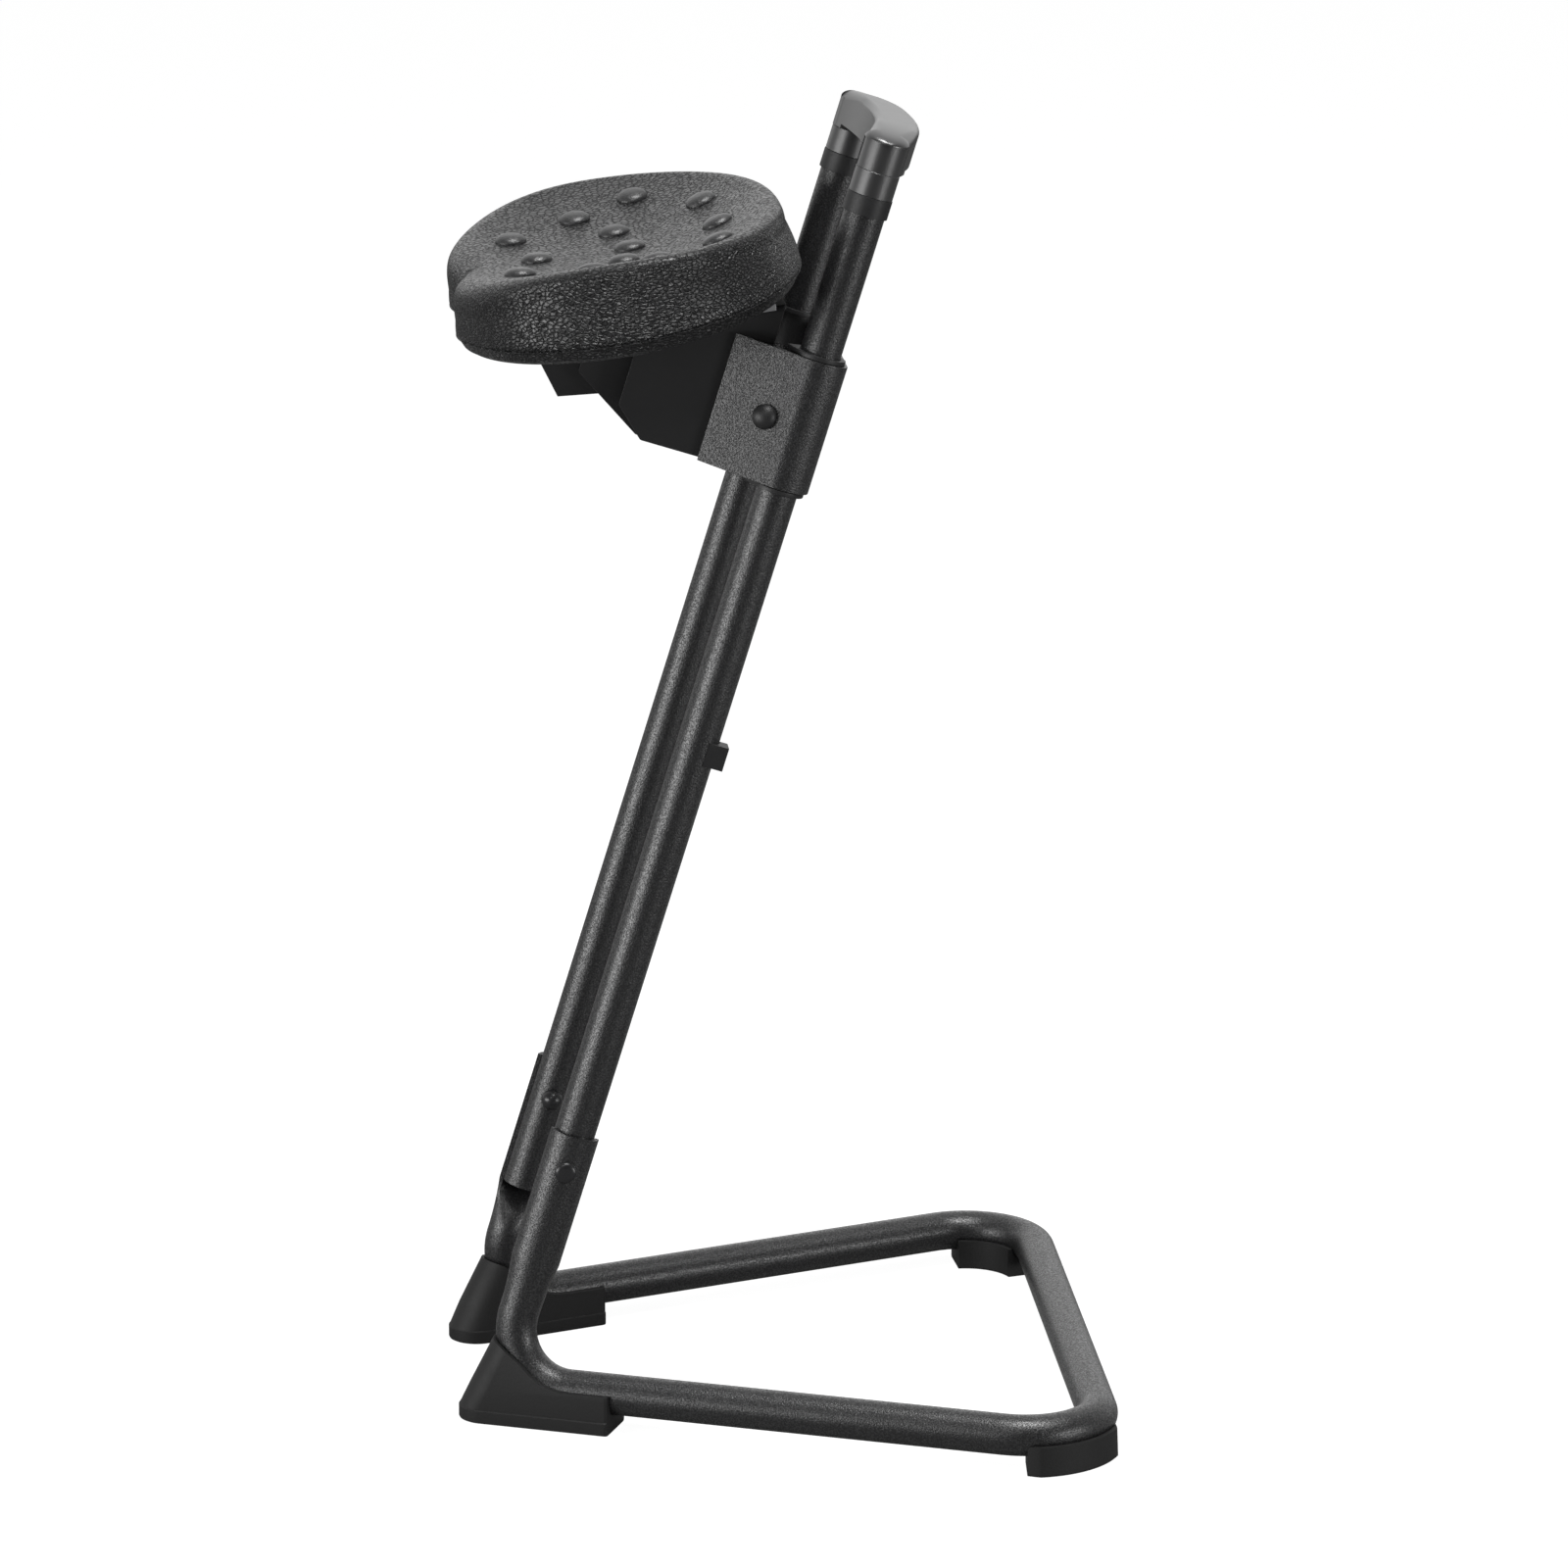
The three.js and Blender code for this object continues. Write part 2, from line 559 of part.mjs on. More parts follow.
// A point of the tube's section: round, or spread round the upright where the tube is flat.
function sectionPoint(station, i, roundRadius, outerRadius, innerRadius, halfAngle) {
  const angle = -Math.PI + ((i + 0.5) / TUBE_SIDES) * 2 * Math.PI;
  const outside = Math.abs(angle) < QUARTER_TURN;
  const last = QUARTER_TURN - Math.PI / TUBE_SIDES;
  const swing = outside ? angle : Math.sign(angle) * (Math.PI - Math.abs(angle));
  const spread = (swing / last) * halfAngle;
  const radius = outside ? outerRadius : innerRadius;
  const flatU = radius * Math.cos(spread) - LEG_OFFSET;
  const flatV = radius * Math.sin(spread);
  const u = THREE.MathUtils.lerp(roundRadius * Math.cos(angle), flatU, station.flat);
  const v = THREE.MathUtils.lerp(roundRadius * Math.sin(angle), flatV, station.flat);
  return station.point.clone().addScaledVector(station.side, u).addScaledVector(station.up, v);
}

function ringsAlong(stations, roundRadius, outerRadius, innerRadius, halfAngle) {
  return framedStations(stations).map((station) =>
    Array.from({ length: TUBE_SIDES }, (_, i) =>
      sectionPoint(station, i, roundRadius, outerRadius, innerRadius, halfAngle),
    ),
  );
}

function bothHalves(rings) {
  const flip = (point) => new THREE.Vector3(-point.x, point.y, point.z);
  const others = rings.slice(0, -1).map((ring) => ring.map(flip));
  return [...rings, ...others.reverse()];
}

function baseTube() {
  const tipAngle = SADDLE_HALF_ANGLE - SADDLE_WALL / SADDLE_RADIUS;
  const outer = ringsAlong(BASE_STATIONS, TUBE_RADIUS, SADDLE_RADIUS, BORE_RADIUS, SADDLE_HALF_ANGLE);
  const inner = ringsAlong(
    BASE_STATIONS,
    TUBE_RADIUS - TUBE_WALL,
    SADDLE_RADIUS - SADDLE_WALL,
    BORE_RADIUS + SADDLE_WALL,
    tipAngle,
  );
  return hollowLoft(bothHalves(outer), bothHalves(inner));
}

// Solid of the tube and its clearance, for the troughs in the feet.
function tubeTrough() {
  const stations = BASE_STATIONS.map((station) => ({ ...station, flat: 0 }));
  return cappedLoft(ringsAlong(stations, BORE_RADIUS, BORE_RADIUS, BORE_RADIUS, SADDLE_HALF_ANGLE));
}

// Front foot, drawn with y along the rail and x outwards, then turned onto the rail
function frontFootRing(height, halfWidth, toe, heel) {
  const rise = Math.max(0, height - RAIL_HEIGHT);
  const shift = -rise * Math.tan(LEAN) * Math.sin(SPLAY);
  const centre = -toe + halfWidth;
  const ring = [new THREE.Vector3(shift - halfWidth, heel, height)];
  for (let i = 0; i <= FOOT_TOE_STEPS; i += 1) {
    const angle = (i / FOOT_TOE_STEPS) * Math.PI;
    const x = shift - halfWidth * Math.cos(angle);
    ring.push(new THREE.Vector3(x, centre - halfWidth * Math.sin(angle), height));
  }
  ring.push(new THREE.Vector3(shift + halfWidth, heel, height));
  return ring;
}

function frontFoot() {
  const width = FRONT_FOOT_HALF_WIDTH;
  const upperWidth = width - FRONT_FOOT_TAPER;
  const beadTop = FRONT_FOOT_BEAD_HEIGHT + FRONT_FOOT_BEAD_STEP;
  const peakLean = (FRONT_FOOT_PEAK_HEIGHT - RAIL_HEIGHT) * Math.tan(LEAN) * Math.cos(SPLAY);
  const peakToe = (TUBE_RADIUS + FRONT_FOOT_WALL) / Math.cos(LEAN) - peakLean;
  const peakWidth = TUBE_RADIUS + FRONT_FOOT_WALL;
  const beadToe = FRONT_FOOT_TOE - FRONT_FOOT_BEAD_STEP;
  const railShare = (RAIL_HEIGHT - beadTop) / (FRONT_FOOT_PEAK_HEIGHT - beadTop);
  const railToe = THREE.MathUtils.lerp(beadToe, peakToe, railShare);
  const body = cappedLoft([
    frontFootRing(0, width - FRONT_FOOT_CHAMFER, FRONT_FOOT_TOE - FRONT_FOOT_CHAMFER, FRONT_FOOT_HEEL),
    frontFootRing(FRONT_FOOT_CHAMFER, width, FRONT_FOOT_TOE, FRONT_FOOT_HEEL),
    frontFootRing(FRONT_FOOT_BEAD_HEIGHT, width, FRONT_FOOT_TOE, FRONT_FOOT_HEEL),
    frontFootRing(beadTop, upperWidth, beadToe, FRONT_FOOT_HEEL),
    frontFootRing(RAIL_HEIGHT, upperWidth, railToe, FRONT_FOOT_HEEL),
    frontFootRing(FRONT_FOOT_PEAK_HEIGHT, peakWidth, peakToe, FRONT_FOOT_HEEL),
  ]);
  const rise = FRONT_FOOT_PEAK_HEIGHT - FRONT_FOOT_SIDE_HEIGHT;
  const rimRun = FRONT_FOOT_TOE + TUBE_RADIUS + FRONT_BEND_RADIUS / 2;
  const rim = FRONT_FOOT_RIM_SHARES.map(([along, up]) => [
    -peakToe + along * rimRun,
    FRONT_FOOT_SIDE_HEIGHT + up * rise,
  ]);
  const above = FRONT_FOOT_PEAK_HEIGHT + OVERRUN;
  const outline = [
    [-FRONT_FOOT_TOE - OVERRUN, above],
    [-FRONT_FOOT_TOE - OVERRUN, FRONT_FOOT_PEAK_HEIGHT],
    ...rim,
    [FRONT_FOOT_HEEL + OVERRUN, FRONT_FOOT_SIDE_HEIGHT],
    [FRONT_FOOT_HEEL + OVERRUN, above],
  ];
  const reach = FRONT_FOOT_HALF_WIDTH + FRONT_FOOT_PEAK_HEIGHT;
  const onRail = new THREE.Matrix4()
    .makeTranslation(FRONT_CORNER.x, FRONT_CORNER.y, 0)
    .multiply(new THREE.Matrix4().makeRotationZ(-SPLAY));
  return cut(cut(body, sideSlab(outline, -reach, reach)).applyMatrix4(onRail), tubeTrough());
}

// Rear foot: a block swept round the bend's centre, with bevelled outer ends
function rearFoot() {
  const start = THREE.MathUtils.degToRad(REAR_FOOT_START_DEGREES);
  const end = THREE.MathUtils.degToRad(REAR_FOOT_END_DEGREES);
  const bevel = THREE.MathUtils.degToRad(REAR_FOOT_BEVEL_DEGREES);
  const rings = [];
  for (let i = 0; i <= REAR_FOOT_STEPS; i += 1) {
    const angle = start + (i / REAR_FOOT_STEPS) * (end - start);
    const fromEnd = Math.min(angle - start, end - angle) / bevel;
    const inset = REAR_FOOT_BEVEL * Math.max(0, 1 - fromEnd);
    const inner = REAR_BEND_RADIUS - REAR_FOOT_HALF_WIDTH;
    const outer = REAR_BEND_RADIUS + REAR_FOOT_HALF_WIDTH - inset;
    const section = [
      [inner + REAR_FOOT_CHAMFER, 0],
      [outer - REAR_FOOT_CHAMFER, 0],
      [outer, REAR_FOOT_CHAMFER],
      [outer - REAR_FOOT_TAPER, REAR_FOOT_HEIGHT],
      [inner + REAR_FOOT_TAPER, REAR_FOOT_HEIGHT],
      [inner, REAR_FOOT_CHAMFER],
    ];
    rings.push(section.map(([radius, height]) => new THREE.Vector3(
      REAR_ARC.centre.x + radius * Math.cos(angle),
      REAR_ARC.centre.y + radius * Math.sin(angle),
      height,
    )));
  }
  return cut(cappedLoft(rings), tubeTrough());
}

// Uprights and what is bolted or clamped to them, along the uprights' axes
function frameBoltHole(radius) {
  const hole = alongX(rod(radius, 0, TUBE_X + SADDLE_RADIUS + OVERRUN, SMALL_SIDES));
  return hole.translate(0, 0, FRAME_BOLT_S);
}

function upright() {
  const tube = pipe(TUBE_RADIUS, TUBE_RADIUS - TUBE_WALL, UPRIGHT_BOTTOM, UPRIGHT_TOP, TUBE_SIDES);
  return cut(tube.translate(TUBE_X, 0, 0), frameBoltHole(FRAME_BOLT_RADIUS + FIT));
}

function uprightCore(radius, from, to) {
  return rod(radius, from, to).translate(TUBE_X, 0, 0);
}

function frameBolt() {
  const seat = TUBE_X + SADDLE_RADIUS + FIT;
  const tip = TUBE_X - TUBE_RADIUS - DOME_NUT_HEIGHT + DOME_NUT_WALL;
  const head = dome(FRAME_BOLT_HEAD_RADIUS, FRAME_BOLT_HEAD_HEIGHT, seat - FRAME_BOLT_HEAD_HEIGHT);
  const crown = alongX(head).translate(FRAME_BOLT_HEAD_HEIGHT, 0, 0);
  const skirt = alongX(rod(FRAME_BOLT_HEAD_RADIUS, TUBE_X + TUBE_RADIUS, seat, SMALL_SIDES));
  const clear = uprightCore(SADDLE_RADIUS + FIT, -FRAME_BOLT_S, FRAME_BOLT_S);
  const shank = alongX(rod(FRAME_BOLT_RADIUS, tip, seat, SMALL_SIDES));
  return join(cut(join(crown, skirt), clear), shank).translate(0, 0, FRAME_BOLT_S);
}

function frameDomeNut() {
  const base = -(TUBE_X - TUBE_RADIUS * Math.cos(FRAME_BOLT_HEAD_RADIUS / TUBE_RADIUS));
  const crown = alongX(dome(DOME_NUT_RADIUS, DOME_NUT_HEIGHT, base)).scale(-1, 1, 1);
  const body = cut(tidy(crown), uprightCore(BORE_RADIUS, -FRAME_BOLT_S, FRAME_BOLT_S));
  const tip = TUBE_X - TUBE_RADIUS - DOME_NUT_HEIGHT + DOME_NUT_WALL;
  const bore = alongX(rod(FRAME_BOLT_RADIUS + FIT, tip - FIT, TUBE_X, SMALL_SIDES));
  return cut(body, bore).translate(0, 0, FRAME_BOLT_S);
}

function stopBlock() {
  const inner = TUBE_X - STOP_BLOCK_INNER;
  const bottom = STOP_BLOCK_TOP - STOP_BLOCK_HEIGHT;
  const body = block(
    [inner, STOP_BLOCK_FRONT, bottom],
    [inner + STOP_BLOCK_WIDTH, STOP_BLOCK_FRONT + STOP_BLOCK_DEPTH, STOP_BLOCK_TOP],
  );
  return cut(body, uprightCore(BORE_RADIUS, bottom - OVERRUN, STOP_BLOCK_TOP + OVERRUN));
}

function handleCollar() {
  const top = COLLAR_BOTTOM + COLLAR_HEIGHT;
  return pipe(BORE_RADIUS + COLLAR_WALL, BORE_RADIUS, COLLAR_BOTTOM, top).translate(TUBE_X, 0, 0);
}

// Section of the handle's bow at a distance from the middle: a rounded rectangle
function handleRing(x, halfDepth, underside) {
  const reach = TUBE_X + HANDLE_HALF_DEPTH;
  const drop = HANDLE_SHOULDER_DROP * (Math.abs(x) / reach) ** HANDLE_SHOULDER_SHARPNESS;
  const top = HANDLE_CROWN - drop;
  const bow = HANDLE_BOW * Math.max(0, 1 - (x / TUBE_X) ** 2);
  const corner = Math.min(HANDLE_CORNER, halfDepth * HANDLE_CORNER_SHARE);
  const corners = [
    [bow + halfDepth - corner, top - corner, 0],
    [bow - halfDepth + corner, top - corner, 1],
    [bow - halfDepth + corner, underside + corner / 2, 2],
    [bow + halfDepth - corner, underside + corner / 2, 3],
  ];
  return corners.flatMap(([n, s, quarter]) => {
    const height = quarter < 2 ? corner : corner / 2;
    return Array.from({ length: HANDLE_CORNER_STEPS + 1 }, (_, i) => {
      const angle = (quarter + i / HANDLE_CORNER_STEPS) * QUARTER_TURN;
      return new THREE.Vector3(x, n + corner * Math.cos(angle), s + height * Math.sin(angle));
    });
  });
}

function topHandle() {
  const gripUnderside = HANDLE_SEAM + HANDLE_GRIP_RISE;
  const half = [
    ...HANDLE_SPAN_SHARES.map((share) => handleRing(share * TUBE_X, HANDLE_HALF_DEPTH, HANDLE_SEAM)),
    ...HANDLE_END_SHARES.map((share) => {
      const halfDepth = HANDLE_HALF_DEPTH * Math.sqrt(1 - share ** 2);
      return handleRing(TUBE_X + share * HANDLE_HALF_DEPTH, halfDepth, HANDLE_SEAM);
    }),
  ];
  const flip = (point) => new THREE.Vector3(-point.x, point.y, point.z);
  const others = half.slice(1).map((ring) => ring.map(flip));
  const bow = cappedLoft([...others.reverse(), ...half]);
  const gapHalf = TUBE_X - TUBE_RADIUS;
  const depth = HANDLE_HALF_DEPTH + HANDLE_BOW + OVERRUN;
  const handGap = block([-gapHalf, -depth, COLLAR_BOTTOM], [gapHalf, depth, gripUnderside]);
  const sockets = Object.values(SIDES).map((side) => {
    const socket = rod(BORE_RADIUS + HANDLE_SOCKET_WALL, SOCKET_BOTTOM, gripUnderside);
    return socket.translate(side * TUBE_X, 0, 0);
  });
  const bores = Object.values(SIDES).map((side) =>
    rod(BORE_RADIUS, COLLAR_BOTTOM, UPRIGHT_TOP + FIT).translate(side * TUBE_X, 0, 0),
  );
  return cut(join(cut(bow, handGap), ...sockets), ...bores);
}

// Carriage sleeve: folded sheet round the back of both uprights, open to the front
function sleeveHalf(inset) {
  const radius = SLEEVE_RADIUS - inset;
  const cos = Math.cos(SLEEVE_CHEEK_ANGLE);
  const sin = Math.sin(SLEEVE_CHEEK_ANGLE);
  const length = (SLEEVE_REACH - SLEEVE_RADIUS * sin) / cos;
  const bendX = TUBE_X + radius * cos;
  const half = [[bendX - length * sin, -radius * sin - length * cos]];
  for (let i = 0; i <= SLEEVE_BEND_STEPS; i += 1) {
    const angle = -SLEEVE_CHEEK_ANGLE + (i / SLEEVE_BEND_STEPS) * (QUARTER_TURN + SLEEVE_CHEEK_ANGLE);
    half.push([TUBE_X + radius * Math.cos(angle), radius * Math.sin(angle)]);
  }
  return half;
}

function pivotHole(radius) {
  const reach = TUBE_X + SLEEVE_RADIUS + OVERRUN;
  return alongX(rod(radius, -reach, reach, SMALL_SIDES));
}

function carriageSleeve() {
  const outer = sleeveHalf(0);
  const inner = sleeveHalf(SLEEVE_WALL);
  const across = ([x, y]) => [-x, y];
  const outline = [
    ...outer,
    ...outer.map(across).reverse(),
    ...inner.map(across),
    ...[...inner].reverse(),
  ];
  const hole = pivotHole(PIVOT_RADIUS + FIT).translate(0, -PIVOT_REACH, PIVOT_RISE);
  return cut(slab(outline, 0, SLEEVE_LENGTH), hole);
}

// Outline of a bush: a circle about the upright, drawn out to a nose at the front
function bushOutline(radius) {
  const reach = Math.hypot(BUSH_NOSE_REACH, BUSH_NOSE_INSET);
  const facing = Math.atan2(-BUSH_NOSE_REACH, -BUSH_NOSE_INSET);
  const spread = Math.acos(radius / reach);
  const outline = [[TUBE_X - BUSH_NOSE_INSET, -BUSH_NOSE_REACH]];
  for (let i = 0; i <= ROUND_SIDES; i += 1) {
    const angle = facing + spread + (i / ROUND_SIDES) * 2 * (Math.PI - spread);
    outline.push([TUBE_X + radius * Math.cos(angle), radius * Math.sin(angle)]);
  }
  return outline;
}

function bush(isTop) {
  const flangeFrom = isTop ? SLEEVE_LENGTH + FIT : -FIT - BUSH_FLANGE_THICKNESS;
  const middle = flangeFrom + BUSH_FLANGE_THICKNESS / 2;
  const depth = isTop ? SLEEVE_LENGTH - BUSH_DEPTH : BUSH_DEPTH;
  const flangeTo = flangeFrom + BUSH_FLANGE_THICKNESS;
  const flange = slab(bushOutline(BUSH_FLANGE_RADIUS), flangeFrom, flangeTo);
  const body = slab(bushOutline(BUSH_RADIUS), Math.min(middle, depth), Math.max(middle, depth));
  const bore = uprightCore(BORE_RADIUS, -SLEEVE_LENGTH, SLEEVE_LENGTH + SLEEVE_LENGTH);
  return cut(join(flange, body), bore);
}

function pivotCap() {
  const shell = dome(PIVOT_CAP_RADIUS, PIVOT_CAP_HEIGHT, FIT);
  const bored = cut(shell, rod(PIVOT_CAP_BORE, -OVERRUN, PIVOT_CAP_BORE_DEPTH, SMALL_SIDES));
  const cap = alongX(bored).rotateZ(-SLEEVE_CHEEK_ANGLE);
  return cap.translate(cheekOutside(PIVOT_REACH), -PIVOT_REACH, PIVOT_RISE);
}

function sideSpacer() {
  const end = cheekInside(PIVOT_REACH + SPACER_RADIUS) - FIT;
  const tube = pipe(SPACER_RADIUS, PIVOT_RADIUS + FIT, BRACKET_HALF_WIDTH + FIT, end, SMALL_SIDES);
  return alongX(tube).translate(0, -PIVOT_REACH, PIVOT_RISE);
}

// Seat channels, drawn from the pivot bolt and cut off along the pad's underside
function underPad(outline, halfWidth, top) {
  const body = sideSlab(outline, -halfWidth, halfWidth);
  return cut(body, block([-FAR, -FAR, top], [FAR, FAR, FAR]).applyMatrix4(PAD_MATRIX));
}

function foldedChannel(outline, halfWidth, top) {
  const grown = [
    [-FAR, -FAR],
    [FAR, -FAR],
    [FAR, FAR],
    [-FAR, FAR],
  ];
  const inside = underPad(grown, halfWidth - SHEET, top - SHEET);
  return cut(underPad(outline, halfWidth, top), inside);
}

function screwPlaces() {
  return [SCREW_FRONT, SCREW_REAR].flatMap((y) => [[SCREW_X, y], [-SCREW_X, y]]);
}

function screwHoles() {
  return screwPlaces().map(([x, y]) =>
    rod(SCREW_RADIUS + FIT, WEB_BOTTOM - OVERRUN, PLATE_TOP + OVERRUN, SMALL_SIDES).translate(x, y, 0),
  );
}

function bracketOuter() {
  const outline = [
    [-BRACKET_FRONT, FAR / 2],
    [-BRACKET_FRONT, -BRACKET_DEPTH + BRACKET_CHAMFER_RISE],
    [-BRACKET_FRONT + BRACKET_CHAMFER_RUN, -BRACKET_DEPTH],
    [BRACKET_REAR, -BRACKET_DEPTH],
    [BRACKET_REAR, BRACKET_SHOULDER],
    [BRACKET_REAR - BRACKET_REAR_SLOPE_RUN, BRACKET_SHOULDER + BRACKET_REAR_SLOPE_RISE],
    [BRACKET_REAR - BRACKET_REAR_SLOPE_RUN, FAR / 2],
  ];
  const holes = screwHoles().map((hole) => hole.applyMatrix4(PAD_MATRIX));
  return cut(foldedChannel(outline, BRACKET_HALF_WIDTH, WEB_TOP), pivotHole(PIVOT_RADIUS + FIT), ...holes);
}

function bracketInner() {
  const outline = [
    [-CHANNEL_FRONT, FAR / 2],
    [-CHANNEL_FRONT, -CHANNEL_FRONT_DEPTH],
    [-CHANNEL_FRONT + CHANNEL_SLOPE_RUN, -BRACKET_DEPTH],
    [-CHANNEL_REAR_GAP, -BRACKET_DEPTH],
    [-CHANNEL_REAR_GAP, FAR / 2],
  ];
  return foldedChannel(outline, CHANNEL_HALF_WIDTH, INNER_WEB_TOP);
}

// Seat pan: a downward-open tray whose rear half steps down under the inner channel
function seatPan() {
  const channelAhead = CHANNEL_FRONT - PAD_FORWARD;
  const stepAt = -channelAhead / Math.cos(PAD_TURN) + INNER_WEB_BOTTOM * Math.tan(PAD_TURN) - FIT;
  const rearTop = INNER_WEB_BOTTOM - FIT;
  const outline = [
    [-PAN_FRONT, WEB_TOP],
    [-PAN_FRONT, -PAN_LIP_DEPTH],
    [-PAN_KNEE, -PAN_KNEE_DEPTH],
    [-PAN_TOE, -PAN_TOE_DEPTH],
    [PAN_REAR, -PAN_DEPTH],
    [PAN_REAR, rearTop],
    [stepAt, rearTop],
    [stepAt, WEB_TOP],
  ];
  const hollow = [
    [SHEET - PAN_FRONT, WEB_BOTTOM],
    [SHEET - PAN_FRONT, -PAN_LIP_DEPTH - SHEET],
    [SHEET - PAN_KNEE, -PAN_KNEE_DEPTH],
    [SHEET - PAN_TOE, -PAN_TOE_DEPTH],
    [SHEET - PAN_TOE, -PAN_DEPTH - OVERRUN],
    [PAN_REAR + OVERRUN, -PAN_DEPTH - OVERRUN],
    [PAN_REAR + OVERRUN, rearTop - SHEET],
    [stepAt - SHEET, rearTop - SHEET],
    [stepAt - SHEET, WEB_BOTTOM],
  ];
  const inside = PAN_HALF_WIDTH - SHEET;
  return cut(sideSlab(outline, -PAN_HALF_WIDTH, PAN_HALF_WIDTH), sideSlab(hollow, -inside, inside));
}

function brakeShoe() {
  const inner = BRACKET_HALF_WIDTH + FIT;
  const outer = cheekInside(SHOE_REACH) - SHOE_PLAY;
  const body = block(
    [inner, PIVOT_REACH - SHOE_REACH, -SHOE_RISE - SHOE_HEIGHT / 2],
    [outer, PIVOT_REACH - TUBE_RADIUS + SHOE_WRAP, -SHOE_RISE + SHOE_HEIGHT / 2],
  );
  const tube = uprightCore(BORE_RADIUS, -FAR, FAR).translate(0, PIVOT_REACH, 0);
  return cut(body, tube);
}

// Seat pad: rings from its sole up the walls, over the rim and down into the dish
function padOutline(angle) {
  const cos = Math.cos(angle);
  const sin = Math.sin(angle);
  const power = sin > 0 ? PAD_REAR_POWER : PAD_FRONT_POWER;
  const reach = sin > 0 ? PAD_REAR : PAD_FRONT;
  const x = Math.sign(cos) * PAD_HALF_WIDTH * Math.abs(cos) ** (2 / power);
  const y = Math.sign(sin) * reach * Math.abs(sin) ** (2 / power);
  const notch = sin < 0 ? PAD_NOTCH_DEPTH * Math.exp(-((x / PAD_NOTCH_HALF_WIDTH) ** 2)) : 0;
  return new THREE.Vector3(x, y + notch, 0);
}

function padHeight(x, y) {
  const side = PAD_SIDE_RISE * (Math.abs(x) / PAD_SIDE_REACH) ** PAD_SIDE_POWER;
  const rear = PAD_REAR_RISE * (Math.max(0, y) / PAD_END_REACH) ** PAD_END_POWER;
  const front = PAD_FRONT_RISE * (Math.max(0, -y) / PAD_END_REACH) ** PAD_END_POWER;
  return PAD_DISH_HEIGHT + side + rear + front;
}

function padAngles() {
  const even = Array.from({ length: PAD_DIVISIONS }, (_, i) => (i / PAD_DIVISIONS) * 2 * Math.PI);
  const front = 3 * QUARTER_TURN;
  const extra = PAD_NOTCH_DEGREES.map((degrees) => front + THREE.MathUtils.degToRad(degrees));
  return [...even, ...extra].sort((a, b) => a - b);
}

function inset(point, distance, height) {
  const scale = 1 - distance / point.length();
  return new THREE.Vector3(point.x * scale, point.y * scale, height);
}

// One meridian of the pad, from its sole to the last ring of its top.
function padMeridian(angle) {
  const edge = padOutline(angle);
  const rearness = Math.max(0, Math.sin(angle)) ** 2;
  const frontness = Math.max(0, -Math.sin(angle)) ** 2;
  const draw = PAD_SIDE_DRAW
    + (PAD_REAR_DRAW - PAD_SIDE_DRAW) * rearness
    + (PAD_FRONT_DRAW - PAD_SIDE_DRAW) * frontness;
  const rim = PAD_RIM_RADIUS + (PAD_FRONT_RIM_RADIUS - PAD_RIM_RADIUS) * frontness;
  const crest = inset(edge, draw + rim, 0);
  const crestHeight = padHeight(crest.x, crest.y);
  const wallMiddle = (PAD_BELT_HEIGHT + crestHeight - rim) / 2;
  const meridian = [
    inset(edge, PAD_SOLE_INSET, 0),
    inset(edge, PAD_UNDERCUT_INSET, PAD_UNDERCUT_HEIGHT),
    inset(edge, PAD_PARTING_INSET, PAD_PARTING_HEIGHT),
    inset(edge, 0, PAD_BELT_HEIGHT),
    inset(edge, draw * PAD_WALL_MIDDLE_SHARE, wallMiddle),
  ];
  for (let i = 0; i <= PAD_RIM_STEPS; i += 1) {
    const turn = (i / PAD_RIM_STEPS) * QUARTER_TURN;
    const distance = draw + rim * (1 - Math.cos(turn));
    meridian.push(inset(edge, distance, crestHeight - rim * (1 - Math.sin(turn))));
  }
  for (const share of PAD_TOP_SHARES) {
    const x = crest.x * share;
    const y = crest.y * share;
    meridian.push(new THREE.Vector3(x, y, padHeight(x, y)));
  }
  return meridian;
}

function seatPad() {
  const meridians = padAngles().map(padMeridian);
  const rings = meridians[0].map((_, i) => meridians.map((meridian) => meridian[i]));
  const sole = new THREE.Vector3(0, 0, 0);
  const dish = new THREE.Vector3(0, 0, PAD_DISH_HEIGHT);
  const recess = block(
    [-PLATE_HALF_WIDTH - FIT, -PLATE_FRONT - FIT, -OVERRUN],
    [PLATE_HALF_WIDTH + FIT, PLATE_REAR + FIT, PLATE_TOP + FIT],
  );
  return cut(loft(rings, sole, dish), recess);
}

function seatBasePlate() {
  const low = [-PLATE_HALF_WIDTH, -PLATE_FRONT, 0];
  const plate = block(low, [PLATE_HALF_WIDTH, PLATE_REAR, PLATE_TOP]);
  return cut(plate, ...screwHoles());
}

function seatScrew(x, y) {
  const underHead = WEB_BOTTOM - FIT;
  const profile = [
    [0, underHead - SCREW_HEAD_HEIGHT],
    [SCREW_HEAD_RADIUS, underHead - SCREW_HEAD_HEIGHT / 2],
    [SCREW_HEAD_RADIUS, underHead],
    [SCREW_RADIUS, underHead],
    [SCREW_RADIUS, PLATE_TOP - SCREW_TIP],
    [0, PLATE_TOP - SCREW_TIP],
  ];
  return revolve(profile, SMALL_SIDES).translate(x, y, 0);
}

// Assembly
const stool = new THREE.Group();
const mast = new THREE.Group();
const carriage = new THREE.Group();
const seat = new THREE.Group();
const pad = new THREE.Group();
mast.rotation.x = -LEAN;
carriage.position.set(0, 0, CARRIAGE_BOTTOM);
seat.position.set(0, -PIVOT_REACH, PIVOT_RISE);
pad.position.set(0, -PAD_FORWARD, PAD_RISE);
pad.rotation.x = PAD_TURN;
stool.add(mast);
mast.add(carriage);
carriage.add(seat);
seat.add(pad);

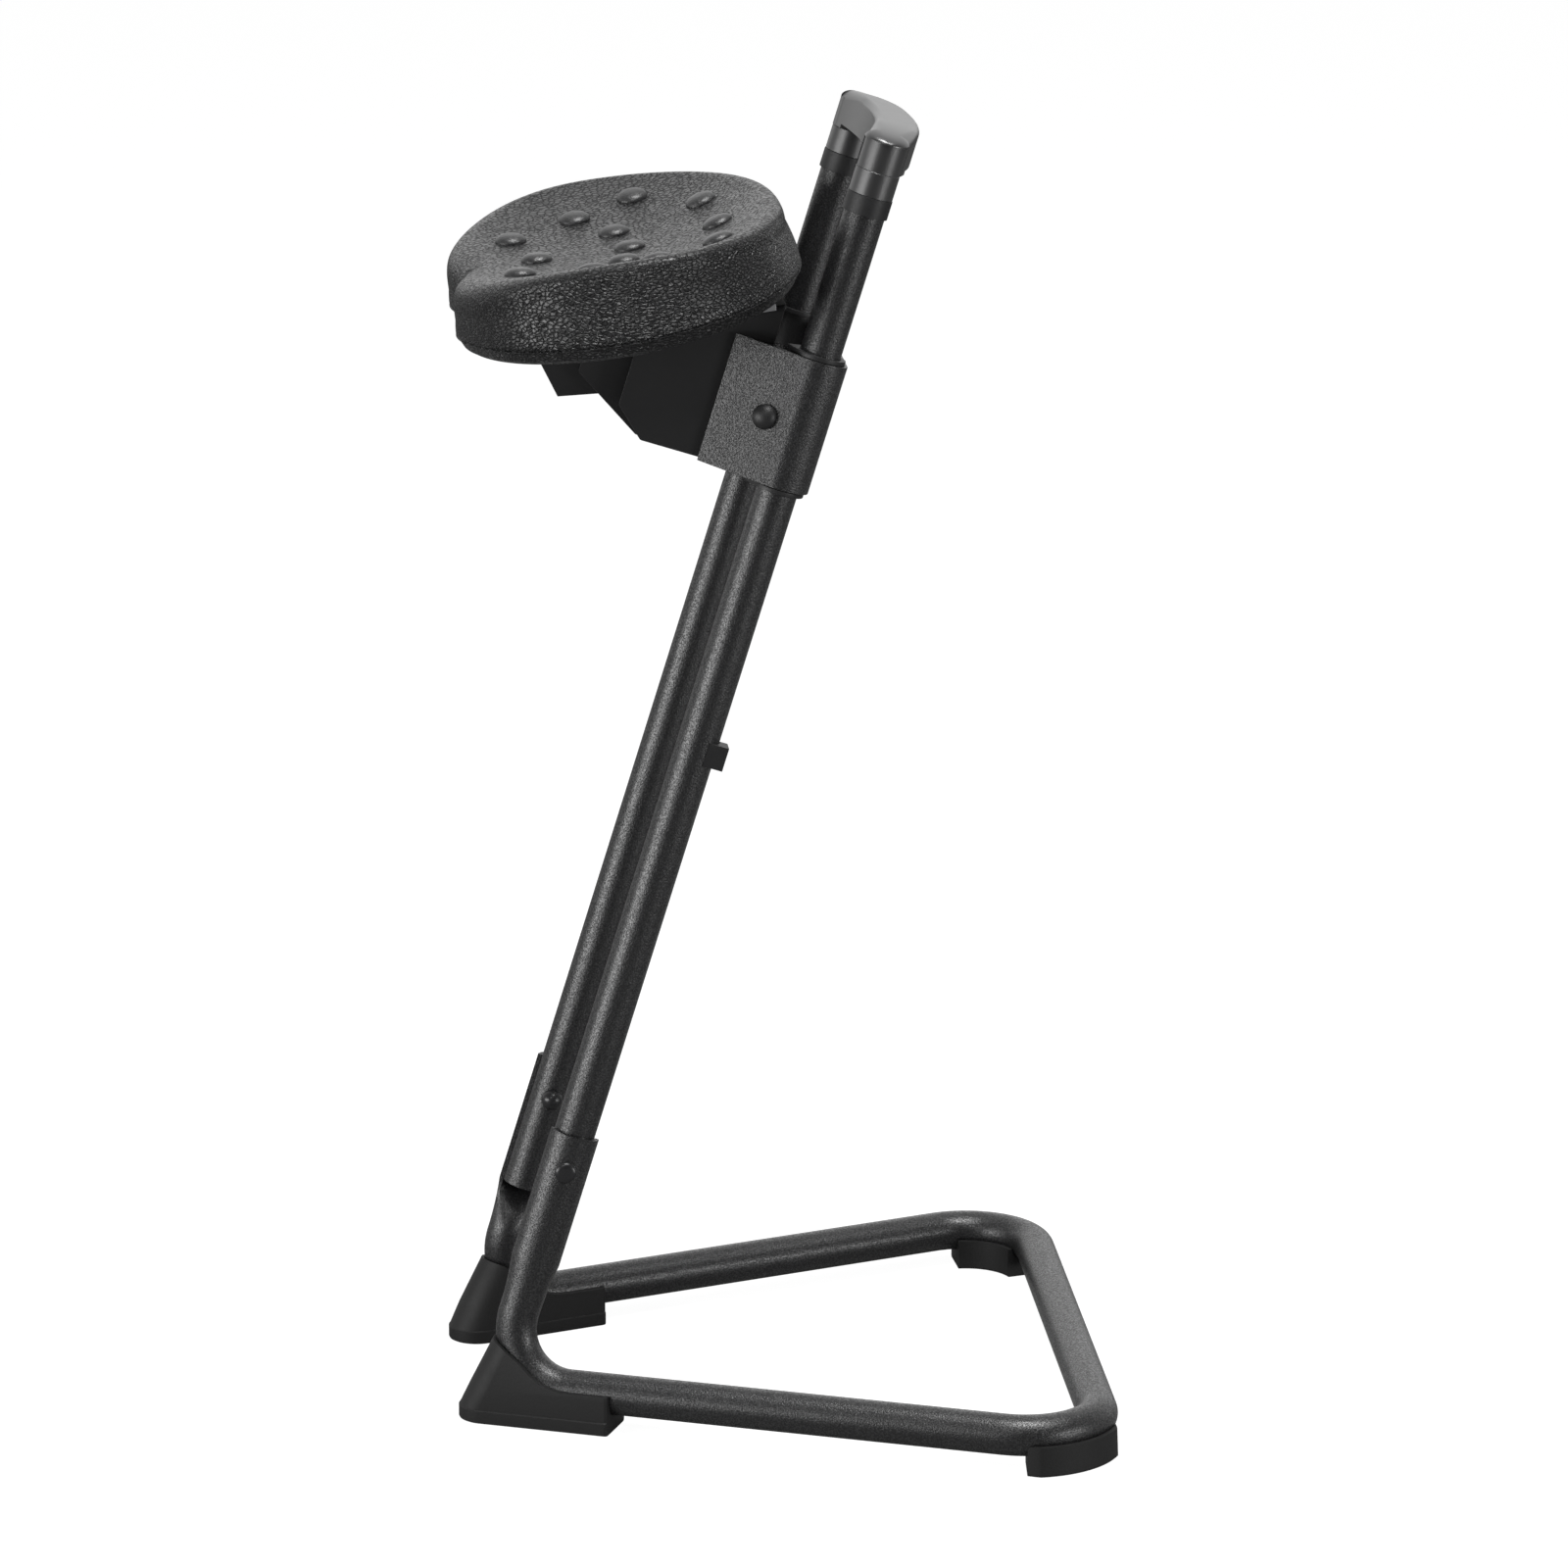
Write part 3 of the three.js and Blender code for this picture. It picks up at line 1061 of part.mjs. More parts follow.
const saddleHoles = Object.values(SIDES).map((side) =>
  onSide(frameBoltHole(FRAME_BOLT_RADIUS + FIT), side).applyMatrix4(MAST_MATRIX),
);
addPiece(stool, "base_tube", cut(baseTube(), ...saddleHoles), "powder_coat");
for (const [name, side] of Object.entries(SIDES)) {
  addPiece(stool, `front_foot_${name}`, onSide(frontFoot(), side), "foot");
  addPiece(stool, `rear_foot_${name}`, onSide(rearFoot(), side), "foot");
  addPiece(mast, `upright_tube_${name}`, onSide(upright(), side), "powder_coat");
  addPiece(mast, `frame_bolt_${name}`, onSide(frameBolt(), side), "bolt");
  addPiece(mast, `frame_dome_nut_${name}`, onSide(frameDomeNut(), side), "bolt");
  addPiece(mast, `stop_block_${name}`, onSide(stopBlock(), side), "matte_plastic");
  addPiece(mast, `handle_collar_${name}`, onSide(handleCollar(), side), "matte_plastic");
  addPiece(carriage, `bush_top_${name}`, onSide(bush(true), side), "matte_plastic");
  addPiece(carriage, `bush_bottom_${name}`, onSide(bush(false), side), "matte_plastic");
  addPiece(carriage, `pivot_cap_${name}`, onSide(pivotCap(), side), "matte_plastic");
  addPiece(carriage, `pivot_spacer_${name}`, onSide(sideSpacer(), side), "steel");
  addPiece(seat, `brake_shoe_${name}`, onSide(brakeShoe(), side), "matte_plastic");
}
addPiece(mast, "top_handle", topHandle(), "gloss_plastic");
addPiece(carriage, "carriage_sleeve", carriageSleeve(), "powder_coat");
const boltReach = cheekOutside(PIVOT_REACH) + PIVOT_END;
const pivotBolt = alongX(rod(PIVOT_RADIUS, -boltReach, boltReach, SMALL_SIDES));
addPiece(carriage, "pivot_bolt", pivotBolt.translate(0, -PIVOT_REACH, PIVOT_RISE), "steel");
addPiece(seat, "bracket_outer", bracketOuter(), "sheet");
addPiece(seat, "bracket_inner", bracketInner(), "sheet");
const spacerEnd = BRACKET_HALF_WIDTH - SHEET - FIT;
const centreSpacer = pipe(SPACER_RADIUS, PIVOT_RADIUS + FIT, -spacerEnd, spacerEnd, SMALL_SIDES);
addPiece(seat, "pivot_spacer_centre", alongX(centreSpacer), "steel");
addPiece(pad, "seat_pan", seatPan(), "sheet");
addPiece(pad, "seat_base_plate", seatBasePlate(), "steel");
screwPlaces().forEach(([x, y], i) => {
  addPiece(pad, `seat_screw_${i + 1}`, seatScrew(x, y), "steel");
});
addPiece(pad, "seat_pad", seatPad(), "pad");

// The origin goes under the middle of the finished stool.
const box = new THREE.Box3().setFromObject(stool, true);
stool.position.y = -(box.min.y + box.max.y) / 2;
stool.updateMatrixWorld(true);

export default stool;
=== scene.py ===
"""Looks of the work stool: fine meshes and finishes round its fixed frame, a studio and a camera.

Metres, +Z up. +X is the sitter's left hand, and the sitter faces -Y.
"""

import json
import logging
import math
from contextlib import contextmanager
from dataclasses import dataclass, field
from enum import Enum
from typing import Any, Iterator, Optional, Sequence, Union

import bmesh
import bpy
import numpy as np
from mathutils import Matrix, Vector


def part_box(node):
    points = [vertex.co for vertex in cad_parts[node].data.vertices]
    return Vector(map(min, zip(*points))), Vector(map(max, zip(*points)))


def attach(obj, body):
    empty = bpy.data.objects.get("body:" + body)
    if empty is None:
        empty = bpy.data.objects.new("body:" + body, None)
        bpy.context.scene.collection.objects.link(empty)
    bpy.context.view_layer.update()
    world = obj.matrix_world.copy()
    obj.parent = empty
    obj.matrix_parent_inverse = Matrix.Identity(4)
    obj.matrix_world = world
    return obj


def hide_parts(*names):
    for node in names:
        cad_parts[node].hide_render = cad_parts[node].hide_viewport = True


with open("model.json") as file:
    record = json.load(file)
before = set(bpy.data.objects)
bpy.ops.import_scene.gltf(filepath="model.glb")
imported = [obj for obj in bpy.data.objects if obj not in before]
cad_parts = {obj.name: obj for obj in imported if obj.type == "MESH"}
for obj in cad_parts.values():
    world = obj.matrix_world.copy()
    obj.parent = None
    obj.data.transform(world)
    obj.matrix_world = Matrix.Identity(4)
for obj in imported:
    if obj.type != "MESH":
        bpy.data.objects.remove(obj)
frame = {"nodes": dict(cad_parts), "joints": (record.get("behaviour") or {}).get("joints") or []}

LOG = logging.getLogger("work_stool")
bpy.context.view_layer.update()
FIT = 0.0003  # gap between pieces that rest on or slide in each other
WELD = 1e-6  # corners closer than this are one corner
FULL_TURN = 2 * math.pi
QUARTER_TURN = math.pi / 2
BRACKET_HALF = 0.07558  # half the width of the bracket that swings between the sleeve's side plates
PAD_TILT = math.radians(8)  # how much more than the uprights the pad's sole leans
PAD_GAP = 0.0025  # between the pad's rear and the uprights
EDGE = 0.0004  # rounding of a small piece's edges
FINE_EDGE = 0.0003  # rounding of a thin wall's edges
SHEET_EDGE = 0.0005  # rounding of folded sheet's edges
SHARP_DEGREES = 35  # edges sharper than this are rounded, and stay sharp in shading
STEPPED_DEGREES = 50  # the same on pieces whose curves have coarser steps
CORNER_STEPS = 5  # steps of a rounded corner in an outline
TOP_ATTRIBUTE = "top"  # 1 where the pad's skin is wrinkled and 0 where it is pebbled
SMOOTH_ATTRIBUTE = "smooth"  # 1 on the pad's smooth bumps

Point = tuple[float, float]


class Body(Enum):
    """The bodies that move against each other."""

    FRAME = "frame"
    CARRIAGE = "carriage"
    SEAT = "seat"


class Slot(Enum):
    """The record's material slots."""

    POWDER_COAT = "powder_coat"
    BLACK_SHEET = "black_sheet"
    FOOT_RUBBER = "foot_rubber"
    BLACK_BOLT = "black_bolt"
    MATTE_PLASTIC = "matte_plastic"
    GLOSS_PLASTIC = "gloss_plastic"
    ZINC_STEEL = "zinc_steel"
    PAD_SKIN = "pad_skin"


class Side(Enum):
    """The sitter's left and right, as the sign of X."""

    left = 1
    right = -1


# Node trees


class Term:
    """A socket of a node tree that can be used in a sum."""

    def __init__(self, graph: "Graph", socket: bpy.types.NodeSocket) -> None:
        """Keeps an output socket and the graph that it belongs to."""
        self.graph = graph
        self.socket = socket

    def _math(self, operation: str, *values: Union["Term", float]) -> "Term":
        """Adds a Math node with its inputs in order and returns its result."""
        sockets = dict(enumerate(values))
        return self.graph.node("ShaderNodeMath", {"operation": operation}, sockets)["Value"]

    def __add__(self, other: Union["Term", float]) -> "Term":
        """Sum."""
        return self._math("ADD", self, other)

    def __radd__(self, other: float) -> "Term":
        """Sum with a number on the left."""
        return self._math("ADD", other, self)

    def __sub__(self, other: Union["Term", float]) -> "Term":
        """Difference."""
        return self._math("SUBTRACT", self, other)

    def __rsub__(self, other: float) -> "Term":
        """Difference with a number on the left."""
        return self._math("SUBTRACT", other, self)

    def __mul__(self, other: Union["Term", float]) -> "Term":
        """Product."""
        return self._math("MULTIPLY", self, other)

    def __rmul__(self, other: float) -> "Term":
        """Product with a number on the left."""
        return self._math("MULTIPLY", other, self)

    def __truediv__(self, other: Union["Term", float]) -> "Term":
        """Quotient."""
        return self._math("DIVIDE", self, other)

    def __rtruediv__(self, other: float) -> "Term":
        """Quotient with a number on the left."""
        return self._math("DIVIDE", other, self)

    def __pow__(self, other: Union["Term", float]) -> "Term":
        """Power."""
        return self._math("POWER", self, other)

    def apply(self, operation: str, *others: Union["Term", float]) -> "Term":
        """Any other Math operation, with this term as its first input."""
        return self._math(operation, self, *others)


class Outputs:
    """The outputs of one node, by name or identifier."""

    def __init__(self, graph: "Graph", node: bpy.types.Node) -> None:
        """Keeps the node and its graph."""
        self.graph = graph
        self.node = node

    def __getitem__(self, key: str) -> Term:
        """The output of that identifier, or else of that name."""
        return Term(self.graph, find_socket(self.node.outputs, key))


def find_socket(sockets: Any, key: Union[str, int]) -> bpy.types.NodeSocket:
    """Finds a node's socket.

    Args:
        sockets: The node's inputs or outputs.
        key: A place in the row, an identifier or a name.

    Returns:
        The socket.
    """
    if isinstance(key, int):
        return sockets[key]
    found = [s for s in sockets if s.identifier == key]
    found += [s for s in sockets if s.name == key and s.enabled]
    return found[0] if found else sockets[key]


class Graph:
    """Builds the nodes of one tree, for a material, a world or a mesh."""

    def __init__(self, tree: bpy.types.NodeTree) -> None:
        """Starts with an empty tree."""
        self.tree = tree
        tree.nodes.clear()

    def node(
        self,
        kind: str,
        settings: Optional[dict[str, Any]] = None,
        sockets: Optional[dict[Union[str, int], Any]] = None,
    ) -> Outputs:
        """Adds one node.

        Args:
            kind: The node's type.
            settings: Its properties, which are set first.
            sockets: Values or terms for its inputs.

        Returns:
            The node's outputs.
        """
        node = self.tree.nodes.new(kind)
        for name, value in (settings or {}).items():
            setattr(node, name, value)
        for key, value in (sockets or {}).items():
            socket = find_socket(node.inputs, key)
            if isinstance(value, Term):
                self.tree.links.new(value.socket, socket)
            else:
                socket.default_value = value
        return Outputs(self, node)

    def mix_colours(self, factor: Union[Term, float], first: Any, second: Any) -> Term:
        """Mixes two colours or terms. The factor is the share of the second."""
        sockets = {"Factor_Float": factor, "A_Color": first, "B_Color": second}
        return self.node("ShaderNodeMix", {"data_type": "RGBA"}, sockets)["Result_Color"]

    def vector(self, operation: str, *values: Any, scale: Union[Term, float, None] = None) -> Term:
        """Adds a Vector Math node.

        Args:
            operation: Its operation.
            values: Its vectors in order.
            scale: The factor of a SCALE operation.

        Returns:
            The resulting vector.
        """
        sockets: dict[Union[str, int], Any] = dict(enumerate(values))
        if scale is not None:
            sockets["Scale"] = scale
        return self.node("ShaderNodeVectorMath", {"operation": operation}, sockets)["Vector"]


# Finishes


@dataclass(frozen=True)
class Finish:
    """A black surface whose colour, roughness and relief vary with a fine grain; its colour is painted
    lighter on the grain's high spots and darker in its hollows and creases, as painted shade.
    """

    name: str
    colour: tuple[float, float, float]
    roughness: float
    specular: float = 0.5
    metallic: float = 0.0
    grain_scale: float = 900.0  # grains per metre
    grain_relief: float = 0.0001
    grain_strength: float = 0.3
    grain_detail: float = 2.0
    mottle_scale: float = 60.0
    mottle_detail: float = 3.0
    mottle_share: float = 0.15  # how far colour and roughness vary from patch to patch
    coat: float = 0.0
    coat_roughness: float = 0.1
    glint: float = 0.0  # how much more coat a high grain has than a low one

    def material(self) -> bpy.types.Material:
        """Builds the material.

        Returns:
            A new material.
        """
        material = bpy.data.materials.new(self.name)
        material.use_nodes = True
        graph = Graph(material.node_tree)
        place = graph.node("ShaderNodeTexCoord")["Object"]
        shader = self.shade(graph, place)
        graph.node("ShaderNodeOutputMaterial", sockets={"Surface": shader})
        return material

    def noise(self, graph: Graph, place: Term, scale: float, detail: float = 2.0) -> Term:
        """A noise texture's value, from 0 to 1, with its features per metre and its octaves."""
        sockets = {"Vector": place, "Scale": scale, "Detail": detail}
        return graph.node("ShaderNodeTexNoise", sockets=sockets)["Fac"]

    def relief(self, graph: Graph, place: Term) -> Term:
        """The height of the surface's grain at a place, from 0 to 1."""
        return self.noise(graph, place, self.grain_scale, self.grain_detail)

    def shade(self, graph: Graph, place: Term) -> Term:
        """Builds the shader.

        Args:
            graph: The material's nodes.
            place: Object coordinates.

        Returns:
            The shader's socket.
        """
        grain = self.relief(graph, place)
        mottle = self.noise(graph, place, self.mottle_scale, self.mottle_detail)
        spread = (mottle - 0.5) * self.mottle_share
        dark = (*[c * (1 - self.mottle_share) for c in self.colour], 1)
        light = (*[c * (1 + self.mottle_share) for c in self.colour], 1)
        # Base colour: the mottle is the material's own uneven tone, while the grain's height paints it
        # lighter on high spots and darker in hollows and creases, which is painted shade.
        mottle_and_hollow_shade = (mottle + grain) * 0.5
        bump = graph.node(
            "ShaderNodeBump",
            sockets={"Strength": self.grain_strength, "Distance": self.grain_relief, "Height": grain},
        )
        coat: Union[Term, float] = self.coat
        if self.glint:
            coat = (grain - 0.5) * self.glint + self.coat
            coat = coat.apply("MAXIMUM", 0.0).apply("MINIMUM", 1.0)
        return graph.node(
            "ShaderNodeBsdfPrincipled",
            sockets={
                "Base Color": graph.mix_colours(mottle_and_hollow_shade, dark, light),
                "Roughness": spread + self.roughness,
                "Metallic": self.metallic,
                "Specular IOR Level": self.specular,
                "Coat Weight": coat,
                "Coat Roughness": self.coat_roughness,
                "Normal": bump["Normal"],
            },
        )["BSDF"]


@dataclass(frozen=True)
class LeatherFinish(Finish):
    """Moulded foam skin: pebbles on the walls, wrinkles on top, and smooth bumps."""

    pebble_scale: float = 330.0
    wrinkle_scale: float = 300.0
    wrinkle_gain: float = 1.6  # how much higher the wrinkles on top are than the pebbles
    warp_scale: float = 170.0
    warp_reach: float = 0.0016
    crease_share: float = 0.3  # width of a crease between two pebbles, as a share of one
    crease_power: float = 0.6  # less than 1 gives the cells round tops
    fine_share: float = 0.07  # part of the relief that is fine noise on top of the pebbles
    bump_smoothness: float = 0.9
    bump_sheen: float = 0.95  # grain value of the smooth bumps, which sets their sheen
    stretch: tuple[float, float, float] = (1.0, 0.8, 1.35)  # creases run along the wall

    def relief(self, graph: Graph, place: Term) -> Term:
        """The height of pebbles, wrinkles and creases.

        Args:
            graph: The material's nodes.
            place: Object coordinates.

        Returns:
            The height, from 0 to 1.
        """
        warp = graph.node(
            "ShaderNodeTexNoise",
            sockets={"Vector": place, "Scale": self.warp_scale, "Detail": 2.0},
        )["Color"]
        centred = graph.vector("SUBTRACT", warp, (0.5, 0.5, 0.5))
        pushed = graph.vector("SCALE", centred, scale=self.warp_reach)
        bent = graph.vector("MULTIPLY", graph.vector("ADD", place, pushed), self.stretch)
        pebbles = self.cells(graph, bent, self.pebble_scale)
        wrinkles = self.cells(graph, bent, self.wrinkle_scale)
        top = graph.node("ShaderNodeAttribute", {"attribute_name": TOP_ATTRIBUTE})["Fac"]
        smooth = graph.node("ShaderNodeAttribute", {"attribute_name": SMOOTH_ATTRIBUTE})["Fac"]
        grain = pebbles * (1 - top) + wrinkles * top * self.wrinkle_gain
        fine = self.noise(graph, place, self.grain_scale, self.grain_detail)
        share = self.fine_share
        textured = grain * (1 - share) + fine * share
        return textured * (1 - smooth * self.bump_smoothness) + smooth * self.bump_sheen

    def cells(self, graph: Graph, place: Term, scale: float) -> Term:
        """Round-topped cells with creases between them.

        Args:
            graph: The material's nodes.
            place: Where to read them.
            scale: Cells per metre.

        Returns:
            The height, from 0 in a crease to 1 on a cell.
        """
        sockets = {"Vector": place, "Scale": scale}
        edge = graph.node("ShaderNodeTexVoronoi", {"feature": "DISTANCE_TO_EDGE"}, sockets)["Distance"]
        return (edge / self.crease_share).apply("MINIMUM", 1.0) ** self.crease_power


POWDER_COAT = Finish(
    "powder_coat_black", (0.008, 0.008, 0.0085), 0.36, grain_scale=900, grain_relief=0.0006,
    grain_strength=0.7, grain_detail=2.0, mottle_scale=800, mottle_share=0.4,
    coat=0.35, coat_roughness=0.33, glint=6.0,
)
SATIN_SHEET = Finish(
    "satin_sheet_black", (0.015, 0.015, 0.0155), 0.4, specular=0.45, grain_scale=900,
    grain_strength=0.2, mottle_scale=25, mottle_share=0.1,
)
MOULDED_RUBBER = Finish(
    "moulded_rubber_black", (0.010, 0.010, 0.010), 0.6, specular=0.32, grain_scale=700,
    grain_relief=0.0003, grain_strength=0.35, mottle_scale=90, mottle_share=0.12,
)
MATT_PLASTIC = Finish(
    "matt_plastic_black", (0.013, 0.013, 0.0135), 0.45, specular=0.4, grain_scale=650,
    grain_relief=0.0003, grain_strength=0.3, mottle_scale=120, mottle_share=0.12,
)
GLOSS_PLASTIC = Finish(
    "gloss_plastic_black", (0.011, 0.011, 0.0115), 0.35, specular=0.9, grain_scale=900,
    grain_strength=0.08, mottle_scale=40, mottle_share=0.06, coat=0.6, coat_roughness=0.36,
)
BLACK_ZINC = Finish(
    "black_zinc", (0.015, 0.015, 0.016), 0.3, specular=0.5, metallic=0.1, grain_scale=1200,
    grain_strength=0.12, mottle_scale=200, mottle_share=0.15,
)
ZINC_STEEL = Finish(
    "zinc_steel_bright", (0.55, 0.55, 0.56), 0.36, metallic=1.0, grain_scale=1400,
    grain_strength=0.1, mottle_scale=150, mottle_share=0.12,
)
PAD_SKIN = LeatherFinish(
    "pad_skin_black", (0.010, 0.010, 0.0105), 0.42, specular=0.4, grain_scale=900,
    grain_relief=0.0022, grain_strength=1.0, mottle_scale=70, mottle_share=0.4,
    coat_roughness=0.38, glint=1.3,
)

FINISH_OF_SLOT = {
    Slot.POWDER_COAT: POWDER_COAT,
    Slot.BLACK_SHEET: SATIN_SHEET,
    Slot.FOOT_RUBBER: MOULDED_RUBBER,
    Slot.BLACK_BOLT: BLACK_ZINC,
    Slot.MATTE_PLASTIC: MATT_PLASTIC,
    Slot.GLOSS_PLASTIC: GLOSS_PLASTIC,
    Slot.ZINC_STEEL: ZINC_STEEL,
    Slot.PAD_SKIN: PAD_SKIN,
}


class Paintbox:
    """Makes each finish's material once."""

    def __init__(self) -> None:
        """Starts with no material."""
        self.materials: dict[Slot, bpy.types.Material] = {}

    def material(self, slot: Slot) -> bpy.types.Material:
        """The material of a slot.

        Args:
            slot: The record's slot.

        Returns:
            The material.
        """
        if slot not in self.materials:
            self.materials[slot] = FINISH_OF_SLOT[slot].material()
        return self.materials[slot]


PAINT = Paintbox()


# Meshes


def add_object(name: str, data: bpy.types.ID) -> bpy.types.Object:
    """Makes an object and puts it in the scene.

    Args:
        name: The object's name.
        data: Its mesh, light or camera.

    Returns:
        The object.
    """
    obj = bpy.data.objects.new(name, data)
    bpy.context.scene.collection.objects.link(obj)
    return obj


@dataclass
class Shape:
    """Corners and faces of a piece, before it is a mesh."""

    points: np.ndarray
    faces: list[tuple[int, ...]]

    def moved(self, matrix: Matrix) -> "Shape":
        """The shape carried by a 4 by 4 matrix."""
        m = np.array(matrix)
        return Shape(self.points @ m[:3, :3].T + m[:3, 3], self.faces)

    def mirrored(self) -> "Shape":
        """The shape's mirror image across X = 0, with its faces still outwards."""
        return Shape(self.points * np.array([-1, 1, 1]), [tuple(reversed(f)) for f in self.faces])

    def on(self, side: Side) -> "Shape":
        """The left shape, or its mirror image for the right."""
        return self if side is Side.left else self.mirrored()

    def make(self, name: str) -> bpy.types.Object:
        """Makes a mesh object with merged corners and outward faces.

        Args:
            name: The object's name.

        Returns:
            The object.
        """
        mesh = bpy.data.meshes.new(name)
        mesh.from_pydata(self.points.tolist(), [], self.faces)
        obj = add_object(name, mesh)
        turn_outwards(obj)
        return obj


@contextmanager
def editing(mesh: bpy.types.Mesh) -> Iterator[bmesh.types.BMesh]:
    """Lends a mesh for editing and writes the result back.

    Args:
        mesh: The mesh.

    Yields:
        The mesh as bmesh holds it.
    """
    work = bmesh.new()
    work.from_mesh(mesh)
    yield work
    work.to_mesh(mesh)
    work.free()


def turn_outwards(obj: bpy.types.Object) -> None:
    """Merges a mesh's doubles and points its faces outwards.

    Args:
        obj: The mesh object.
    """
    with editing(obj.data) as work:
        bmesh.ops.remove_doubles(work, verts=work.verts, dist=WELD)
        bmesh.ops.recalc_face_normals(work, faces=work.faces)


def mirror_to(obj: bpy.types.Object, side: Side) -> None:
    """Mirrors a left piece across X = 0 where it is wanted on the right.

    Args:
        obj: The piece as it is on the left.
        side: Where it is wanted.
    """
    if side is Side.right:
        obj.data.transform(Matrix.Diagonal((-1, 1, 1, 1)))
        turn_outwards(obj)


def loft(rings: np.ndarray, capped: bool = True) -> Shape:
    """Skins a row of closed rings.

    Args:
        rings: Points as an array of rings by points by 3.
        capped: Whether both ends are closed.

    Returns:
        The shape.
    """
    rows, count = rings.shape[:2]
    faces: list[tuple[int, ...]] = []
    for r in range(rows - 1):
        for i in range(count):
            j = (i + 1) % count
            faces.append((r * count + i, r * count + j, (r + 1) * count + j, (r + 1) * count + i))
    if capped:
        faces.append(tuple(range(count)))
        faces.append(tuple(range((rows - 1) * count, rows * count)))
    return Shape(rings.reshape(-1, 3), faces)


def lathe(profile: Sequence[Point], sides: int = 64) -> Shape:
    """Revolves a profile of radii and heights about Z.

    Args:
        profile: Radius and height of each corner. It starts and ends on the axis, or closes on itself.
        sides: Facets round the axis.

    Returns:
        The shape.
    """
    turn = np.arange(sides) / sides * FULL_TURN
    rings = [
        np.stack([r * np.cos(turn), r * np.sin(turn), np.full(sides, z)], axis=1)
        for r, z in profile
    ]
    return loft(np.array(rings), capped=False)


def prism(outline: Sequence[Point], low: float, high: float) -> Shape:
    """Extrudes an outline of x and y corners.

    Args:
        outline: The corners.
        low: Height of the underside.
        high: Height of the top.

    Returns:
        The shape.
    """
    flat = np.array(outline, float)
    rings = [np.column_stack([flat, np.full(len(flat), z)]) for z in (low, high)]
    return loft(np.array(rings))


def side_prism(outline: Sequence[Point], low: float, high: float) -> Shape:
    """Extrudes an outline of y and z corners across the stool, from the low x to the high one."""
    shape = prism(outline, low, high)
    return Shape(shape.points[:, [2, 0, 1]], shape.faces)


def along_x(shape: Shape) -> Shape:
    """Turns a shape about Z into one about X."""
    return shape.moved(Matrix.Rotation(QUARTER_TURN, 4, "Y"))


def arc(centre: Point, radius: float, start: float, end: float, steps: int) -> list[Point]:
    """Points of an arc from its start angle to its end angle."""
    turns = [start + (end - start) * i / steps for i in range(steps + 1)]
    return [(centre[0] + radius * math.cos(t), centre[1] + radius * math.sin(t)) for t in turns]


def rod(radius: float, low: float, high: float) -> list[Point]:
    """The profile of a full cylinder, for lathe."""
    return [(0, low), (radius, low), (radius, high), (0, high)]


def pipe(inner: float, outer: float, low: float, high: float) -> list[Point]:
    """The profile of a tube's wall, for lathe."""
    return [(inner, low), (outer, low), (outer, high), (inner, high), (inner, low)]


def dome(radius: float, base: float, height: float, steps: int, power: float = 1.0) -> list[Point]:
    """The profile of a dome above its rim, for lathe. A power under 1 gives it steeper flanks."""
    turns = [i / steps * QUARTER_TURN for i in range(1, steps + 1)]
    return [(radius * math.cos(t) ** power, base + height * math.sin(t)) for t in turns]


def rounded(corners: Sequence[Point], radius: float) -> list[Point]:
    """Rounds every corner of a closed outline.

    Args:
        corners: The outline's corners.
        radius: Radius of the rounding, less where a side is short.

    Returns:
        The rounded outline.
    """
    points: list[Point] = []
    most = 0.45  # share of a side that one rounding may take
    count = len(corners)
    for i in range(count):
        before, here, after = (Vector(corners[(i + k) % count]) for k in (-1, 0, 1))
        into = before - here
        out = after - here
        half = into.angle(out) / 2
        reach = min(radius / math.tan(half), into.length * most, out.length * most)
        start = here + into.normalized() * reach
        end = here + out.normalized() * reach
        for k in range(CORNER_STEPS + 1):
            t = k / CORNER_STEPS
            point = start * (1 - t) ** 2 + here * (2 * t * (1 - t)) + end * t**2
            points.append((point.x, point.y))
    return points


def bake(obj: bpy.types.Object) -> None:
    """Turns what an object's modifiers make into its plain mesh.

    Args:
        obj: The object.
    """
    depsgraph = bpy.context.evaluated_depsgraph_get()
    mesh = bpy.data.meshes.new_from_object(obj.evaluated_get(depsgraph))
    mesh.name = obj.name
    obj.modifiers.clear()
    obj.data = mesh


def cut(obj: bpy.types.Object, tool: Shape) -> None:
    """Takes a shape away from an object."""
    boolean(obj, tool, "DIFFERENCE")


def join(obj: bpy.types.Object, other: Shape) -> None:
    """Unites an object with a shape."""
    boolean(obj, other, "UNION")


def boolean(obj: bpy.types.Object, other: Shape, operation: str) -> None:
    """Runs one boolean operation.

    Args:
        obj: The object.
        other: The other solid.
        operation: The modifier's operation.
    """
    helper = other.make("helper")
    modifier = obj.modifiers.new("boolean", "BOOLEAN")
    modifier.operation = operation
    modifier.solver = "EXACT"
    modifier.object = helper
    bake(obj)
    bpy.data.objects.remove(helper)


def thicken(obj: bpy.types.Object, wall: float) -> None:
    """Gives an open skin a wall on its inside.

    Args:
        obj: The skin.
        wall: The wall's thickness.
    """
    modifier = obj.modifiers.new("wall", "SOLIDIFY")
    modifier.thickness = wall
    modifier.offset = -1
    modifier.use_even_offset = True
    bake(obj)


def soften(
    obj: bpy.types.Object, width: float, degrees: float = SHARP_DEGREES, segments: int = 2
) -> None:
    """Rounds an object's edges and smooths its curved faces.

    Args:
        obj: The object.
        width: Width of the rounding.
        degrees: Edges sharper than this are rounded.
        segments: Steps of the rounding.
    """
    modifier = obj.modifiers.new("edges", "BEVEL")
    modifier.width = width
    modifier.segments = segments
    modifier.limit_method = "ANGLE"
    modifier.angle_limit = math.radians(degrees)
    modifier.use_clamp_overlap = True
    bake(obj)
    smooth(obj, degrees)
    weighted = obj.modifiers.new("normals", "WEIGHTED_NORMAL")
    weighted.keep_sharp = True
    bake(obj)


